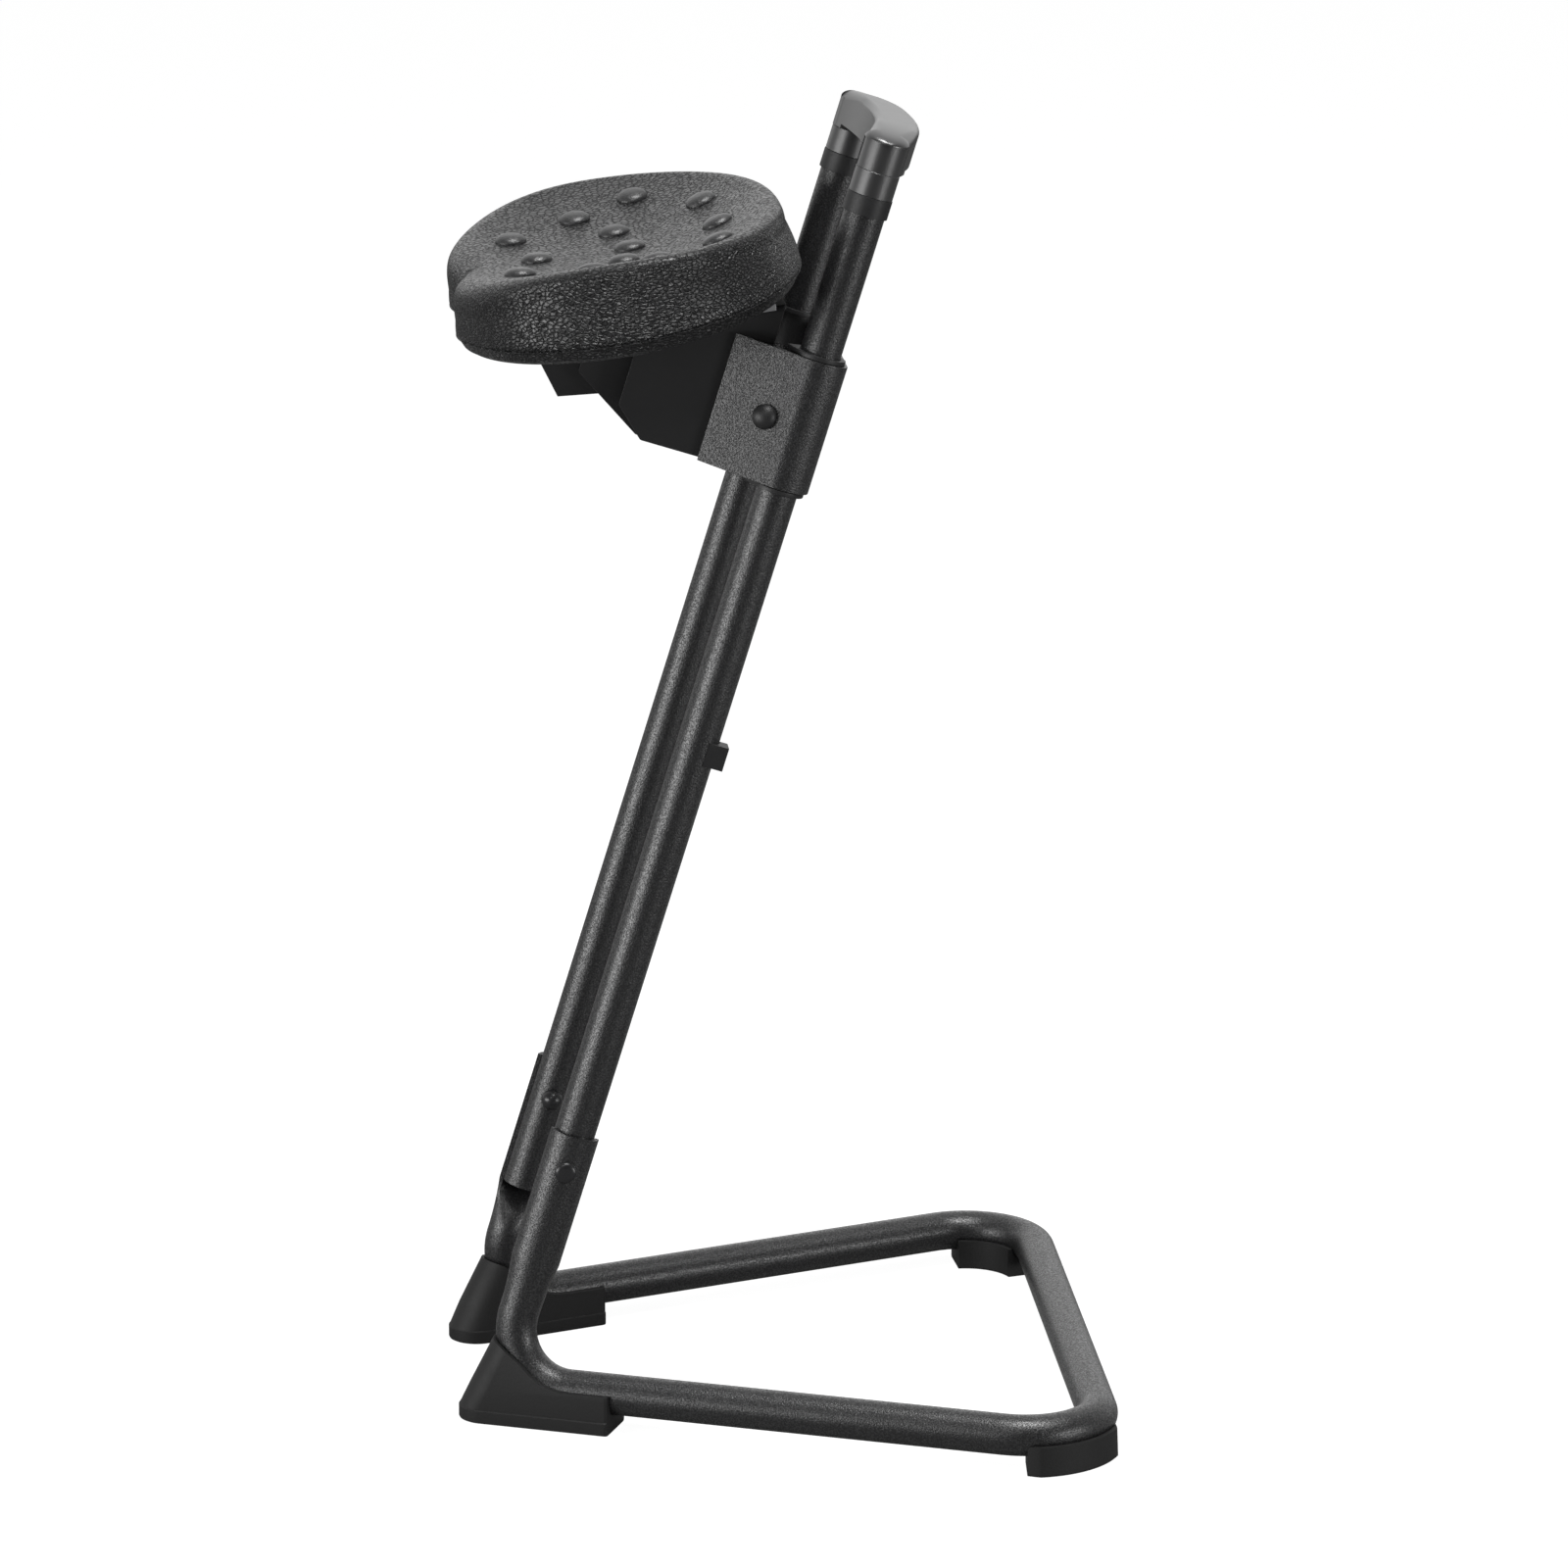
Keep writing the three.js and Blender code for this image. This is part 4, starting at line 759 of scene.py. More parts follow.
def smooth(obj: bpy.types.Object, degrees: float = SHARP_DEGREES) -> None:
    """Smooths an object's faces, but not across edges sharper than some degrees."""
    obj.data.shade_smooth()
    obj.data.set_sharp_from_angle(angle=math.radians(degrees))


def hand_over(piece: bpy.types.Object, body: Body, slot: Slot, *nodes: str) -> None:
    """Dresses a finished piece and places it in the frame.

    Args:
        piece: The piece.
        body: The body that it moves with.
        slot: The record's slot of its finish.
        nodes: The nodes that it stands for.
    """
    piece.data.materials.clear()
    piece.data.materials.append(PAINT.material(slot))
    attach(piece, body.value)
    if nodes:
        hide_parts(*nodes)
    LOG.info("%s: %d faces, rides on %s", piece.name, len(piece.data.polygons), body.value)


# Geometry Nodes


class MeshTree:
    """A Geometry Nodes tree with named inputs, which bakes its result into a plain mesh."""

    def __init__(self, name: str, inputs: dict[str, str]) -> None:
        """Makes the tree with its inputs.

        Args:
            name: The tree's name.
            inputs: Each input's name and socket type.
        """
        tree = bpy.data.node_groups.new(name, "GeometryNodeTree")
        self.graph = Graph(tree)
        tree.interface.new_socket("Geometry", in_out="OUTPUT", socket_type="NodeSocketGeometry")
        tree.interface.new_socket("Geometry", in_out="INPUT", socket_type="NodeSocketGeometry")
        for label, kind in inputs.items():
            tree.interface.new_socket(label, in_out="INPUT", socket_type=kind)
        self.given = self.graph.node("NodeGroupInput")

    def finish(self, geometry: Term) -> None:
        """Ends the tree in plain, smooth faces with their material.

        Args:
            geometry: The geometry to hand out.
        """
        graph = self.graph
        realized = graph.node("GeometryNodeRealizeInstances", sockets={"Geometry": geometry})
        shaded = graph.node("GeometryNodeSetShadeSmooth", sockets={"Geometry": realized["Geometry"]})
        dressed = graph.node(
            "GeometryNodeSetMaterial",
            sockets={"Geometry": shaded["Geometry"], "Material": self.given["Material"]},
        )
        graph.node("NodeGroupOutput", sockets={"Geometry": dressed["Geometry"]})

    def attribute(self, name: str, kind: str) -> Term:
        """The value of a named attribute of the input's points."""
        settings = {"data_type": kind}
        return self.graph.node("GeometryNodeInputNamedAttribute", settings, {"Name": name})["Attribute"]

    def run(self, obj: bpy.types.Object, values: dict[str, Any]) -> None:
        """Puts the tree on an object and bakes it.

        Args:
            obj: The object whose mesh is the tree's input.
            values: A value for each named input.
        """
        modifier = obj.modifiers.new(self.graph.tree.name, "NODES")
        modifier.node_group = self.graph.tree
        for item in self.graph.tree.interface.items_tree:
            if item.in_out == "INPUT" and item.name in values:
                modifier[item.identifier] = values[item.name]
        bake(obj)


class TubeTree(MeshTree):
    """Sweeps a tube along a path whose points say where the section lies and how far it is pressed.

    The path's mesh has the attributes side and up, the section's directions, and flat, which goes
    from 0, round, to 1, pressed into a trough round another tube.
    """

    lengths = ("Radius", "Trough outside", "Trough inside", "Trough offset", "Trough half angle")

    def __init__(self) -> None:
        """Builds the tree."""
        super().__init__(
            "swept_tube",
            {
                **dict.fromkeys(self.lengths, "NodeSocketFloat"),
                "Sides": "NodeSocketInt",
                "Material": "NodeSocketMaterial",
            },
        )
        graph = self.graph
        given = self.given
        index = graph.node("GeometryNodeInputIndex")["Index"]
        turn = (index + 0.5) / given["Sides"] * FULL_TURN - math.pi
        circle = graph.node(
            "GeometryNodeCurvePrimitiveCircle",
            sockets={"Resolution": given["Sides"], "Radius": given["Radius"]},
        )["Curve"]
        marked = graph.node(
            "GeometryNodeStoreNamedAttribute",
            {"data_type": "FLOAT", "domain": "POINT"},
            {"Geometry": circle, "Name": "turn", "Value": turn},
        )["Geometry"]
        path = graph.node("GeometryNodeMeshToCurve", sockets={"Mesh": given["Geometry"]})["Curve"]
        position = graph.node("GeometryNodeInputPosition")["Position"]
        middle = graph.node(
            "GeometryNodeStoreNamedAttribute",
            {"data_type": "FLOAT_VECTOR", "domain": "POINT"},
            {"Geometry": path, "Name": "middle", "Value": position},
        )["Geometry"]
        swept = graph.node(
            "GeometryNodeCurveToMesh", sockets={"Curve": middle, "Profile Curve": marked}
        )["Mesh"]
        across, upwards = self.section()
        sideways = graph.vector("SCALE", self.attribute("side", "FLOAT_VECTOR"), scale=across)
        lifted = graph.vector("SCALE", self.attribute("up", "FLOAT_VECTOR"), scale=upwards)
        offset = graph.vector("ADD", sideways, lifted)
        moved = graph.vector("ADD", self.attribute("middle", "FLOAT_VECTOR"), offset)
        placed = graph.node("GeometryNodeSetPosition", sockets={"Geometry": swept, "Position": moved})
        self.finish(placed["Geometry"])

    def section(self) -> tuple[Term, Term]:
        """The section's point at each turn, sideways and upwards.

        Returns:
            Both distances.
        """
        given = self.given
        turn = self.attribute("turn", "FLOAT")
        flat = self.attribute("flat", "FLOAT")
        size = turn.apply("ABSOLUTE")
        outside = size.apply("LESS_THAN", QUARTER_TURN)
        folded = turn.apply("SIGN") * (math.pi - size)
        swing = turn * outside + folded * (1 - outside)
        last = QUARTER_TURN - math.pi / given["Sides"]
        spread = swing / last * given["Trough half angle"]
        radius = given["Trough outside"] * outside + given["Trough inside"] * (1 - outside)
        flat_across = radius * spread.apply("COSINE") - given["Trough offset"]
        flat_up = radius * spread.apply("SINE")
        round_across = given["Radius"] * turn.apply("COSINE")
        round_up = given["Radius"] * turn.apply("SINE")
        across = round_across * (1 - flat) + flat_across * flat
        upwards = round_up * (1 - flat) + flat_up * flat
        return across, upwards


class StudTree(MeshTree):
    """Sets a copy of one small object on each point of a mesh, upright on the point's own direction."""

    def __init__(self) -> None:
        """Builds the tree."""
        super().__init__("set_studs", {"Stud": "NodeSocketObject", "Material": "NodeSocketMaterial"})
        graph = self.graph
        stud = graph.node("GeometryNodeObjectInfo", sockets={"Object": self.given["Stud"]})["Geometry"]
        turn = graph.node(
            "FunctionNodeAlignRotationToVector",
            {"axis": "Z"},
            {"Vector": self.attribute("upright", "FLOAT_VECTOR")},
        )["Rotation"]
        points = graph.node("GeometryNodeMeshToPoints", sockets={"Mesh": self.given["Geometry"]})["Points"]
        copies = graph.node(
            "GeometryNodeInstanceOnPoints",
            sockets={"Points": points, "Instance": stud, "Rotation": turn},
        )["Instances"]
        self.finish(copies)


def store(mesh: bpy.types.Mesh, name: str, values: np.ndarray) -> None:
    """Gives each corner of a mesh a number or a vector.

    Args:
        mesh: The mesh.
        name: The attribute's name.
        values: A number or a vector for each corner.
    """
    vector = values.ndim == 2
    data = mesh.attributes.new(name, "FLOAT_VECTOR" if vector else "FLOAT", "POINT").data
    data.foreach_set("vector" if vector else "value", values.astype(np.float32).ravel())


def point_mesh(
    name: str, points: np.ndarray, attributes: dict[str, np.ndarray], linked: bool
) -> bpy.types.Object:
    """Makes the mesh that a tree starts from.

    Args:
        name: The object's name.
        points: Its points.
        attributes: A number or a vector for each point, by name.
        linked: Whether edges join the points in a row.

    Returns:
        The object.
    """
    edges = [(i, i + 1) for i in range(len(points) - 1)] if linked else []
    mesh = bpy.data.meshes.new(name)
    mesh.from_pydata(points.tolist(), edges, [])
    for label, values in attributes.items():
        store(mesh, label, values)
    return add_object(name, mesh)


# Places


@dataclass(frozen=True)
class Mast:
    """The two leaning uprights, which place what they carry.

    Its coordinates are x across, n square to the uprights and to the rear, and s along them
    from the floor.
    """

    lean: float
    foot_y: float  # where the uprights' axes meet the floor
    pivot_s: float
    tube_x: float
    tube_radius: float = 0.014
    tube_wall: float = 0.0018
    pivot_reach: float = 0.024  # pivot bolt ahead of the uprights' axes

    @classmethod
    def from_frame(cls) -> "Mast":
        """Reads the lean, the pivot and the uprights from the frame.

        Returns:
            The mast.
        """
        joints = {joint["name"]: joint for joint in frame["joints"]}
        _, rise_y, rise_z = joints["carriage_slide"]["axis"]
        lean = math.atan2(rise_y, rise_z)
        _, pivot_y, pivot_z = joints["seat_tilt"]["pos_m"]
        ahead = -cls.pivot_reach
        pivot_s = (pivot_z + ahead * math.sin(lean)) / math.cos(lean)
        foot_y = pivot_y - pivot_s * math.sin(lean) - ahead * math.cos(lean)
        low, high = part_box("upright_tube_left")
        return cls(lean, foot_y, pivot_s, (low.x + high.x) / 2)

    @property
    def bore(self) -> float:
        """Radius of whatever fits over an upright."""
        return self.tube_radius + FIT

    def matrix(self, n: float = 0, s: float = 0) -> Matrix:
        """Carries mast coordinates, from a place n behind the axes and s along them, into the scene."""
        foot = Matrix.Translation((0, self.foot_y, 0)) @ Matrix.Rotation(-self.lean, 4, "X")
        return foot @ Matrix.Translation((0, n, s))

    def pivot_place(self) -> Matrix:
        """Carries what is drawn from the pivot bolt's middle into the scene."""
        return self.matrix(-self.pivot_reach, self.pivot_s)

    def on_tube(self, s: float = 0) -> Matrix:
        """Carries what is drawn round Z to the left upright's axis at a distance along it."""
        return self.matrix(0, s) @ Matrix.Translation((self.tube_x, 0, 0))


@dataclass
class Station:
    """A place on a tube's path."""

    point: Vector
    heading: Vector
    flat: float = 0.0


@dataclass
class BaseFrame:
    """The base tube, both uprights, their bolts and stop blocks, and the four shoes."""

    mast: Mast
    rail_height: float = 0.0245
    rail_splay: float = math.radians(22.3)  # from straight back
    rear_reach: float = 0.4105  # rear bar's axis behind the line where the uprights meet the floor
    front_radius: float = 0.040
    rear_radius: float = 0.050
    leg_straight: float = 0.0013  # round part between front bend and blend
    saddle_length: float = 0.094
    saddle_blend: float = 0.037  # from the round tube to the pressed saddle
    blend_power: float = 2.0
    saddle_wall: float = 0.0012
    saddle_slot: float = 0.0006  # between its two pressed walls
    saddle_half_angle: float = math.radians(77.7)
    upright_top: float = 0.915
    bolt_from_top: float = 0.025
    bolt_head_radius: float = 0.0075
    bolt_head_height: float = 0.0036
    bolt_rim: float = 0.0006  # straight part of the head and of the nut, under the dome
    bolt_shank_radius: float = 0.004
    bolt_dome_power: float = 0.55
    bolt_dome_steps: int = 10
    nut_height: float = 0.010
    nut_dome_steps: int = 12
    stop_top: float = 0.499
    stop_height: float = 0.0165
    stop_inner: float = 0.002
    stop_width: float = 0.015
    stop_front: float = 0.0055
    stop_depth: float = 0.0145
    stop_edge: float = 0.0011
    bend_steps: int = 28
    blend_steps: int = 16
    run_in: float = 0.003  # distance from a straight run's end to its first station
    sides: int = 64

    def __post_init__(self) -> None:
        """Works out the base tube's path."""
        mast = self.mast
        self.saddle_radius = mast.bore + 2 * self.saddle_wall + self.saddle_slot
        self.leg_offset = self.saddle_radius - mast.tube_radius
        self.leg_x = mast.tube_x + self.leg_offset
        lean = mast.lean
        turn = math.acos(-math.sin(lean) * math.cos(self.rail_splay))
        bend_top = self.rail_height / math.cos(lean) + self.front_radius * math.tan(turn / 2)
        self.upright_bottom = bend_top + self.leg_straight + self.saddle_blend + FIT
        self.saddle_top = self.upright_bottom - FIT + self.saddle_length
        to_scene = mast.matrix()
        self.leg_top = to_scene @ Vector((self.leg_x, 0, self.saddle_top))
        self.front_corner = to_scene @ Vector((self.leg_x, 0, self.rail_height / math.cos(lean)))
        rear_y = mast.foot_y + self.rear_reach
        splayed = (rear_y - self.front_corner.y) * math.tan(self.rail_splay)
        self.rear_corner = Vector((self.leg_x + splayed, rear_y, self.rail_height))
        self.rear_middle = Vector((0, rear_y, self.rail_height))
        self.front_arc, _ = self.bend(self.leg_top, self.front_corner, self.rear_corner, self.front_radius)
        self.rear_arc, self.rear_centre = self.bend(
            self.front_corner, self.rear_corner, self.rear_middle, self.rear_radius
        )

    def bend(
        self, before: Vector, corner: Vector, after: Vector, radius: float
    ) -> tuple[list[Station], Vector]:
        """The arc that rounds a corner of the path.

        Args:
            before: A point on the run before the corner.
            corner: The corner of the tube's axes.
            after: A point on the run after it.
            radius: Radius of the axis.

        Returns:
            The arc's stations and its centre.
        """
        along = (corner - before).normalized()
        away = (after - corner).normalized()
        turn = along.angle(away)
        inward = (away - along * along.dot(away)).normalized()
        start = corner - along * radius * math.tan(turn / 2)
        centre = start + inward * radius
        stations = []
        for i in range(self.bend_steps + 1):
            t = turn * i / self.bend_steps
            point = centre - inward * radius * math.cos(t) + along * radius * math.sin(t)
            stations.append(Station(point, along * math.cos(t) + inward * math.sin(t)))
        return stations, centre

    def half_path(self) -> list[Station]:
        """The base tube's path from the left saddle's top to the middle of the rear bar.

        Returns:
            Its stations.
        """
        heading = (self.front_corner - self.leg_top).normalized()
        lengths = (0.0, self.run_in, self.saddle_length / 2, self.saddle_length - self.run_in)
        stations = [Station(self.leg_top + heading * length, heading, 1.0) for length in lengths]
        for i in range(self.blend_steps + 1):
            share = i / self.blend_steps
            length = self.saddle_length + share * self.saddle_blend
            flat = (1 - share) ** self.blend_power
            stations.append(Station(self.leg_top + heading * length, heading, flat))
        rail = self.straight_run(self.front_arc[-1], self.rear_arc[0])
        bar = self.straight_run(self.rear_arc[-1], Station(self.rear_middle, Vector((-1, 0, 0))))
        return stations + self.front_arc + rail + self.rear_arc + bar

    def straight_run(self, start: Station, end: Station) -> list[Station]:
        """Stations just inside the ends of a straight run, which keep its shading even.

        Args:
            start: The station before the run.
            end: The station after it.

        Returns:
            Stations between the two, and for the last bar its middle.
        """
        stations = [
            Station(start.point + start.heading * self.run_in, start.heading),
            Station(end.point - start.heading * self.run_in, start.heading),
        ]
        return stations + [end] if end.point.x == 0 else stations

    def path_mesh(self, name: str, flattened: bool = True) -> bpy.types.Object:
        """The whole path of the base tube, with its section's directions.

        Args:
            name: The object's name.
            flattened: Whether the saddles are pressed.

        Returns:
            The mesh object.
        """
        points, sides, ups, flats = [], [], [], []
        side = Vector((1, 0, 0))
        heading = self.half_path()[0].heading
        for station in self.half_path():
            turn = heading.rotation_difference(station.heading)
            side.rotate(turn)
            heading = station.heading
            points.append(station.point)
            sides.append(side.copy())
            ups.append(heading.cross(side))
            flats.append(station.flat if flattened else 0.0)
        flip = np.array([-1, 1, 1])
        table = [np.array(values, float) for values in (points, sides, ups)]
        whole = [np.vstack([half, half[-2::-1] * flip]) for half in table]
        flat = np.array(flats + flats[-2::-1])
        return point_mesh(name, whole[0], {"side": whole[1], "up": whole[2], "flat": flat}, linked=True)

    def tube_values(self, radius: float) -> dict[str, Any]:
        """The tube tree's inputs.

        Args:
            radius: The round tube's radius.

        Returns:
            A value for each input.
        """
        return {
            "Radius": radius,
            "Trough outside": self.saddle_radius,
            "Trough inside": self.mast.bore,
            "Trough offset": self.leg_offset,
            "Trough half angle": self.saddle_half_angle,
            "Sides": self.sides,
            "Material": PAINT.material(Slot.POWDER_COAT),
        }

    def build(self, tubes: TubeTree) -> None:
        """Builds every piece of the base.

        Args:
            tubes: The tree that sweeps tubes.
        """
        self.build_base_tube(tubes)
        trough = self.trough(tubes)
        for side in Side:
            self.build_upright(tubes, side)
            self.build_bolt(side)
            self.build_nut(side)
            self.build_stop(side)
            FrontShoe(self, trough).build(side)
            RearShoe(self, trough).build(side)

    def build_base_tube(self, tubes: TubeTree) -> None:
        """Builds the bent base tube with its pressed saddles.

        Args:
            tubes: The tree that sweeps tubes.
        """
        tube = self.path_mesh("bent_base_tube")
        tubes.run(tube, self.tube_values(self.mast.tube_radius))
        turn_outwards(tube)
        thicken(tube, self.saddle_wall)
        soften(tube, SHEET_EDGE, STEPPED_DEGREES)
        hand_over(tube, Body.FRAME, Slot.POWDER_COAT, "base_tube")

    def trough(self, tubes: TubeTree) -> Shape:
        """The space that the base tube takes, as a solid that cuts the shoes.

        Args:
            tubes: The tree that sweeps tubes.

        Returns:
            The solid.
        """
        core = self.path_mesh("trough", flattened=False)
        tubes.run(core, self.tube_values(self.mast.bore))
        points = np.array([v.co for v in core.data.vertices], float)
        faces = [tuple(face.vertices) for face in core.data.polygons]
        bpy.data.objects.remove(core)
        return Shape(points, faces)

    def build_upright(self, tubes: TubeTree, side: Side) -> None:
        """Builds one upright.

        Args:
            tubes: The tree that sweeps tubes.
            side: Left or right.
        """
        mast = self.mast
        across = side.value * mast.tube_x
        low, high = self.upright_bottom, self.upright_top
        lengths = (low, low + self.run_in, high - self.run_in, high)
        ends = [mast.matrix() @ Vector((across, 0, s)) for s in lengths]
        count = len(ends)
        heading = (ends[0] - ends[-1]).normalized()
        sideways = Vector((side.value, 0, 0))
        attributes = {
            "side": np.array([sideways] * count),
            "up": np.array([heading.cross(sideways)] * count),
            "flat": np.zeros(count),
        }
        tube = point_mesh(f"upright_{side.name}", np.array(ends), attributes, linked=True)
        tubes.run(tube, self.tube_values(mast.tube_radius))
        turn_outwards(tube)
        thicken(tube, mast.tube_wall)
        soften(tube, FINE_EDGE, STEPPED_DEGREES)
        hand_over(tube, Body.FRAME, Slot.POWDER_COAT, f"upright_tube_{side.name}")

    def bolt_place(self) -> Matrix:
        """Carries what is drawn about X from the left upright's axis to the bolt's height."""
        return self.mast.on_tube(self.saddle_top - self.bolt_from_top)

    def build_bolt(self, side: Side) -> None:
        """Builds one bolt with its round head and its shank.

        Args:
            side: Left or right.
        """
        radius = self.bolt_head_radius
        shank = self.bolt_shank_radius
        inner = -self.mast.tube_radius - self.nut_height / 2
        skirt = math.sqrt(self.saddle_radius**2 - radius**2) - FIT
        rim = self.saddle_radius + self.bolt_rim
        profile = [(0.0, inner), (shank, inner), (shank, skirt), (radius, skirt), (radius, rim)]
        height = self.bolt_head_height - self.bolt_rim
        profile += dome(radius, rim, height, self.bolt_dome_steps, self.bolt_dome_power)
        bolt = along_x(lathe(profile)).moved(self.bolt_place()).on(side).make(f"saddle_bolt_{side.name}")
        soften(bolt, EDGE)
        hand_over(bolt, Body.FRAME, Slot.BLACK_BOLT, f"frame_bolt_{side.name}")

    def build_nut(self, side: Side) -> None:
        """Builds one dome nut on the upright's inner side.

        Args:
            side: Left or right.
        """
        radius = self.bolt_head_radius
        base = math.sqrt(self.mast.tube_radius**2 - radius**2)
        rim = self.mast.tube_radius + self.bolt_rim
        profile = [(0.0, base), (radius, base), (radius, rim)]
        profile += dome(radius, rim, self.nut_height + base - rim, self.nut_dome_steps)
        nut = along_x(lathe(profile)).mirrored().moved(self.bolt_place()).on(side)
        piece = nut.make(f"dome_nut_{side.name}")
        soften(piece, EDGE)
        hand_over(piece, Body.FRAME, Slot.BLACK_BOLT, f"frame_dome_nut_{side.name}")

    def build_stop(self, side: Side) -> None:
        """Builds one stop block.

        Args:
            side: Left or right.
        """
        inner = self.mast.tube_x - self.stop_inner
        outer = inner + self.stop_width
        front = self.stop_front
        rear = front + self.stop_depth
        outline = [(inner, front), (outer, front), (outer, rear), (inner, rear)]
        block = prism(outline, self.stop_top - self.stop_height, self.stop_top)
        piece = block.moved(self.mast.matrix()).on(side).make(f"stop_{side.name}")
        core = lathe(rod(self.mast.bore, 0, self.upright_top))
        cut(piece, core.moved(self.mast.on_tube()).on(side))
        soften(piece, self.stop_edge, segments=3)
        hand_over(piece, Body.FRAME, Slot.MATTE_PLASTIC, f"stop_block_{side.name}")


@dataclass
class FrontShoe:
    """A moulded shoe under a front bend, drawn with y along the rail and x outwards."""

    base: BaseFrame
    trough: Shape
    side_wall: float = 0.0057
    taper: float = 0.001
    toe: float = 0.0265
    heel: float = 0.086
    peak: float = 0.058
    peak_wall: float = 0.0032
    peak_toe: float = 0.0022  # reach of the peak in front of the tube's corner
    bead: float = 0.009
    bead_step: float = 0.0006
    chamfer: float = 0.0014
    chamfer_low: float = 0.35  # the chamfer's middle ring: its height as a share of the chamfer
    chamfer_out: float = 0.3  # and how far it is still drawn in
    side_height: float = 0.0275
    heel_radius: float = 0.0022
    edge: float = 0.0007
    far: float = 0.1  # beyond every part of a shoe
    toe_steps: int = 40
    heel_steps: int = 4
    rim_steps: int = 6
    # The rim from toe to heel: along its run, and up from the side walls to the peak
    rim_shares: tuple[Point, ...] = (
        (0, 1), (0.14, 0.9), (0.26, 0.74), (0.4, 0.54), (0.54, 0.29), (0.68, 0.12), (0.82, 0.03), (1, 0),
    )

    def ring(self, height: float, half_width: float, toe: float) -> np.ndarray:
        """One level outline of the shoe.

        Args:
            height: Its height.
            half_width: Half its width.
            toe: Its reach in front of the tube's corner.

        Returns:
            The outline's points.
        """
        base = self.base
        rise = max(0.0, height - base.rail_height)
        shift = -rise * math.tan(base.mast.lean) * math.sin(base.rail_splay)
        centre = -toe + half_width
        corner = self.heel_radius
        reach = half_width - corner
        heel = self.heel - corner
        outline = arc((shift - reach, heel), corner, QUARTER_TURN, math.pi, self.heel_steps)
        outline += [
            (shift - half_width * math.cos(t), centre - half_width * math.sin(t))
            for t in np.linspace(0, math.pi, self.toe_steps + 1)
        ]
        outline += arc((shift + reach, heel), corner, 0, QUARTER_TURN, self.heel_steps)
        return np.array([(x, y, height) for x, y in outline])

    def smooth_rim(self) -> list[Point]:
        """The rim as a smooth curve through its named shares.

        Returns:
            Shares along the rim's run and of its rise.
        """
        along, up = (np.array(values) for values in zip(*self.rim_shares))
        slope = np.gradient(up, along)
        fine: list[Point] = []
        for i in range(len(along) - 1):
            run = along[i + 1] - along[i]
            for t in np.arange(self.rim_steps) / self.rim_steps:
                height = (
                    up[i] * (1 + 2 * t) * (1 - t) ** 2
                    + slope[i] * run * t * (1 - t) ** 2
                    + up[i + 1] * t**2 * (3 - 2 * t)
                    + slope[i + 1] * run * t**2 * (t - 1)
                )
                fine.append((along[i] + run * t, float(height)))
        return fine + [(1.0, 0.0)]

    def build(self, side: Side) -> None:
        """Builds one shoe.

        Args:
            side: Left or right.
        """
        base = self.base
        mast = base.mast
        half = mast.bore + self.side_wall
        upper = half - self.taper
        bead_top = self.bead + self.bead_step
        peak_half = mast.tube_radius + self.peak_wall
        bead_toe = self.toe - self.bead_step
        share = (base.rail_height - bead_top) / (self.peak - bead_top)
        rail_toe = bead_toe + (self.peak_toe - bead_toe) * share
        drawn_in = self.chamfer * self.chamfer_out
        rings = np.array([
            self.ring(0, half - self.chamfer, self.toe - self.chamfer),
            self.ring(self.chamfer * self.chamfer_low, half - drawn_in, self.toe - drawn_in),
            self.ring(self.chamfer, half, self.toe),
            self.ring(self.bead, half, self.toe),
            self.ring(bead_top, upper, bead_toe),
            self.ring(base.rail_height, upper, rail_toe),
            self.ring(self.peak, peak_half, self.peak_toe),
        ])
        shoe = loft(rings).make(f"front_shoe_{side.name}")
        run = self.toe + mast.tube_radius + base.front_radius / 2
        low, high, far = self.side_height, self.peak, self.far
        rim = [(along * run - self.peak_toe, low + up * (high - low)) for along, up in self.smooth_rim()]
        cut(shoe, side_prism([(-far, far), (-far, high), *rim, (far, low), (far, far)], -far, far))
        place = Matrix.Translation((base.front_corner.x, base.front_corner.y, 0))
        shoe.data.transform(place @ Matrix.Rotation(-base.rail_splay, 4, "Z"))
        mirror_to(shoe, side)
        cut(shoe, self.trough)
        soften(shoe, self.edge, segments=3)
        hand_over(shoe, Body.FRAME, Slot.FOOT_RUBBER, f"front_foot_{side.name}")


@dataclass
class RearShoe:
    """A moulded shoe swept round a rear bend of the base tube."""

    base: BaseFrame
    trough: Shape
    side_wall: float = 0.0037
    height: float = 0.021
    taper: float = 0.0008
    chamfer: float = 0.0015
    start: float = math.radians(-4)
    end: float = math.radians(72)
    bevel: float = 0.004  # how far each end's outer side is drawn in
    bevel_turn: float = math.radians(8)
    edge: float = 0.0007
    steps: int = 48

    def build(self, side: Side) -> None:
        """Builds one shoe.

        Args:
            side: Left or right.
        """
        base = self.base
        half = base.mast.bore + self.side_wall
        rings = []
        for i in range(self.steps + 1):
            angle = self.start + (self.end - self.start) * i / self.steps
            from_end = min(angle - self.start, self.end - angle) / self.bevel_turn
            inset = self.bevel * max(0.0, 1 - from_end)
            inner = base.rear_radius - half
            outer = base.rear_radius + half - inset
            section = [
                (inner + self.chamfer, 0),
                (outer - self.chamfer, 0),
                (outer, self.chamfer),
                (outer - self.taper, self.height),
                (inner + self.taper, self.height),
                (inner, self.chamfer),
            ]
            centre = base.rear_centre
            rings.append([
                (centre.x + radius * math.cos(angle), centre.y + radius * math.sin(angle), z)
                for radius, z in section
            ])
        shoe = loft(np.array(rings)).on(side).make(f"rear_shoe_{side.name}")
        cut(shoe, self.trough)
        soften(shoe, self.edge, segments=3)
        hand_over(shoe, Body.FRAME, Slot.FOOT_RUBBER, f"rear_foot_{side.name}")


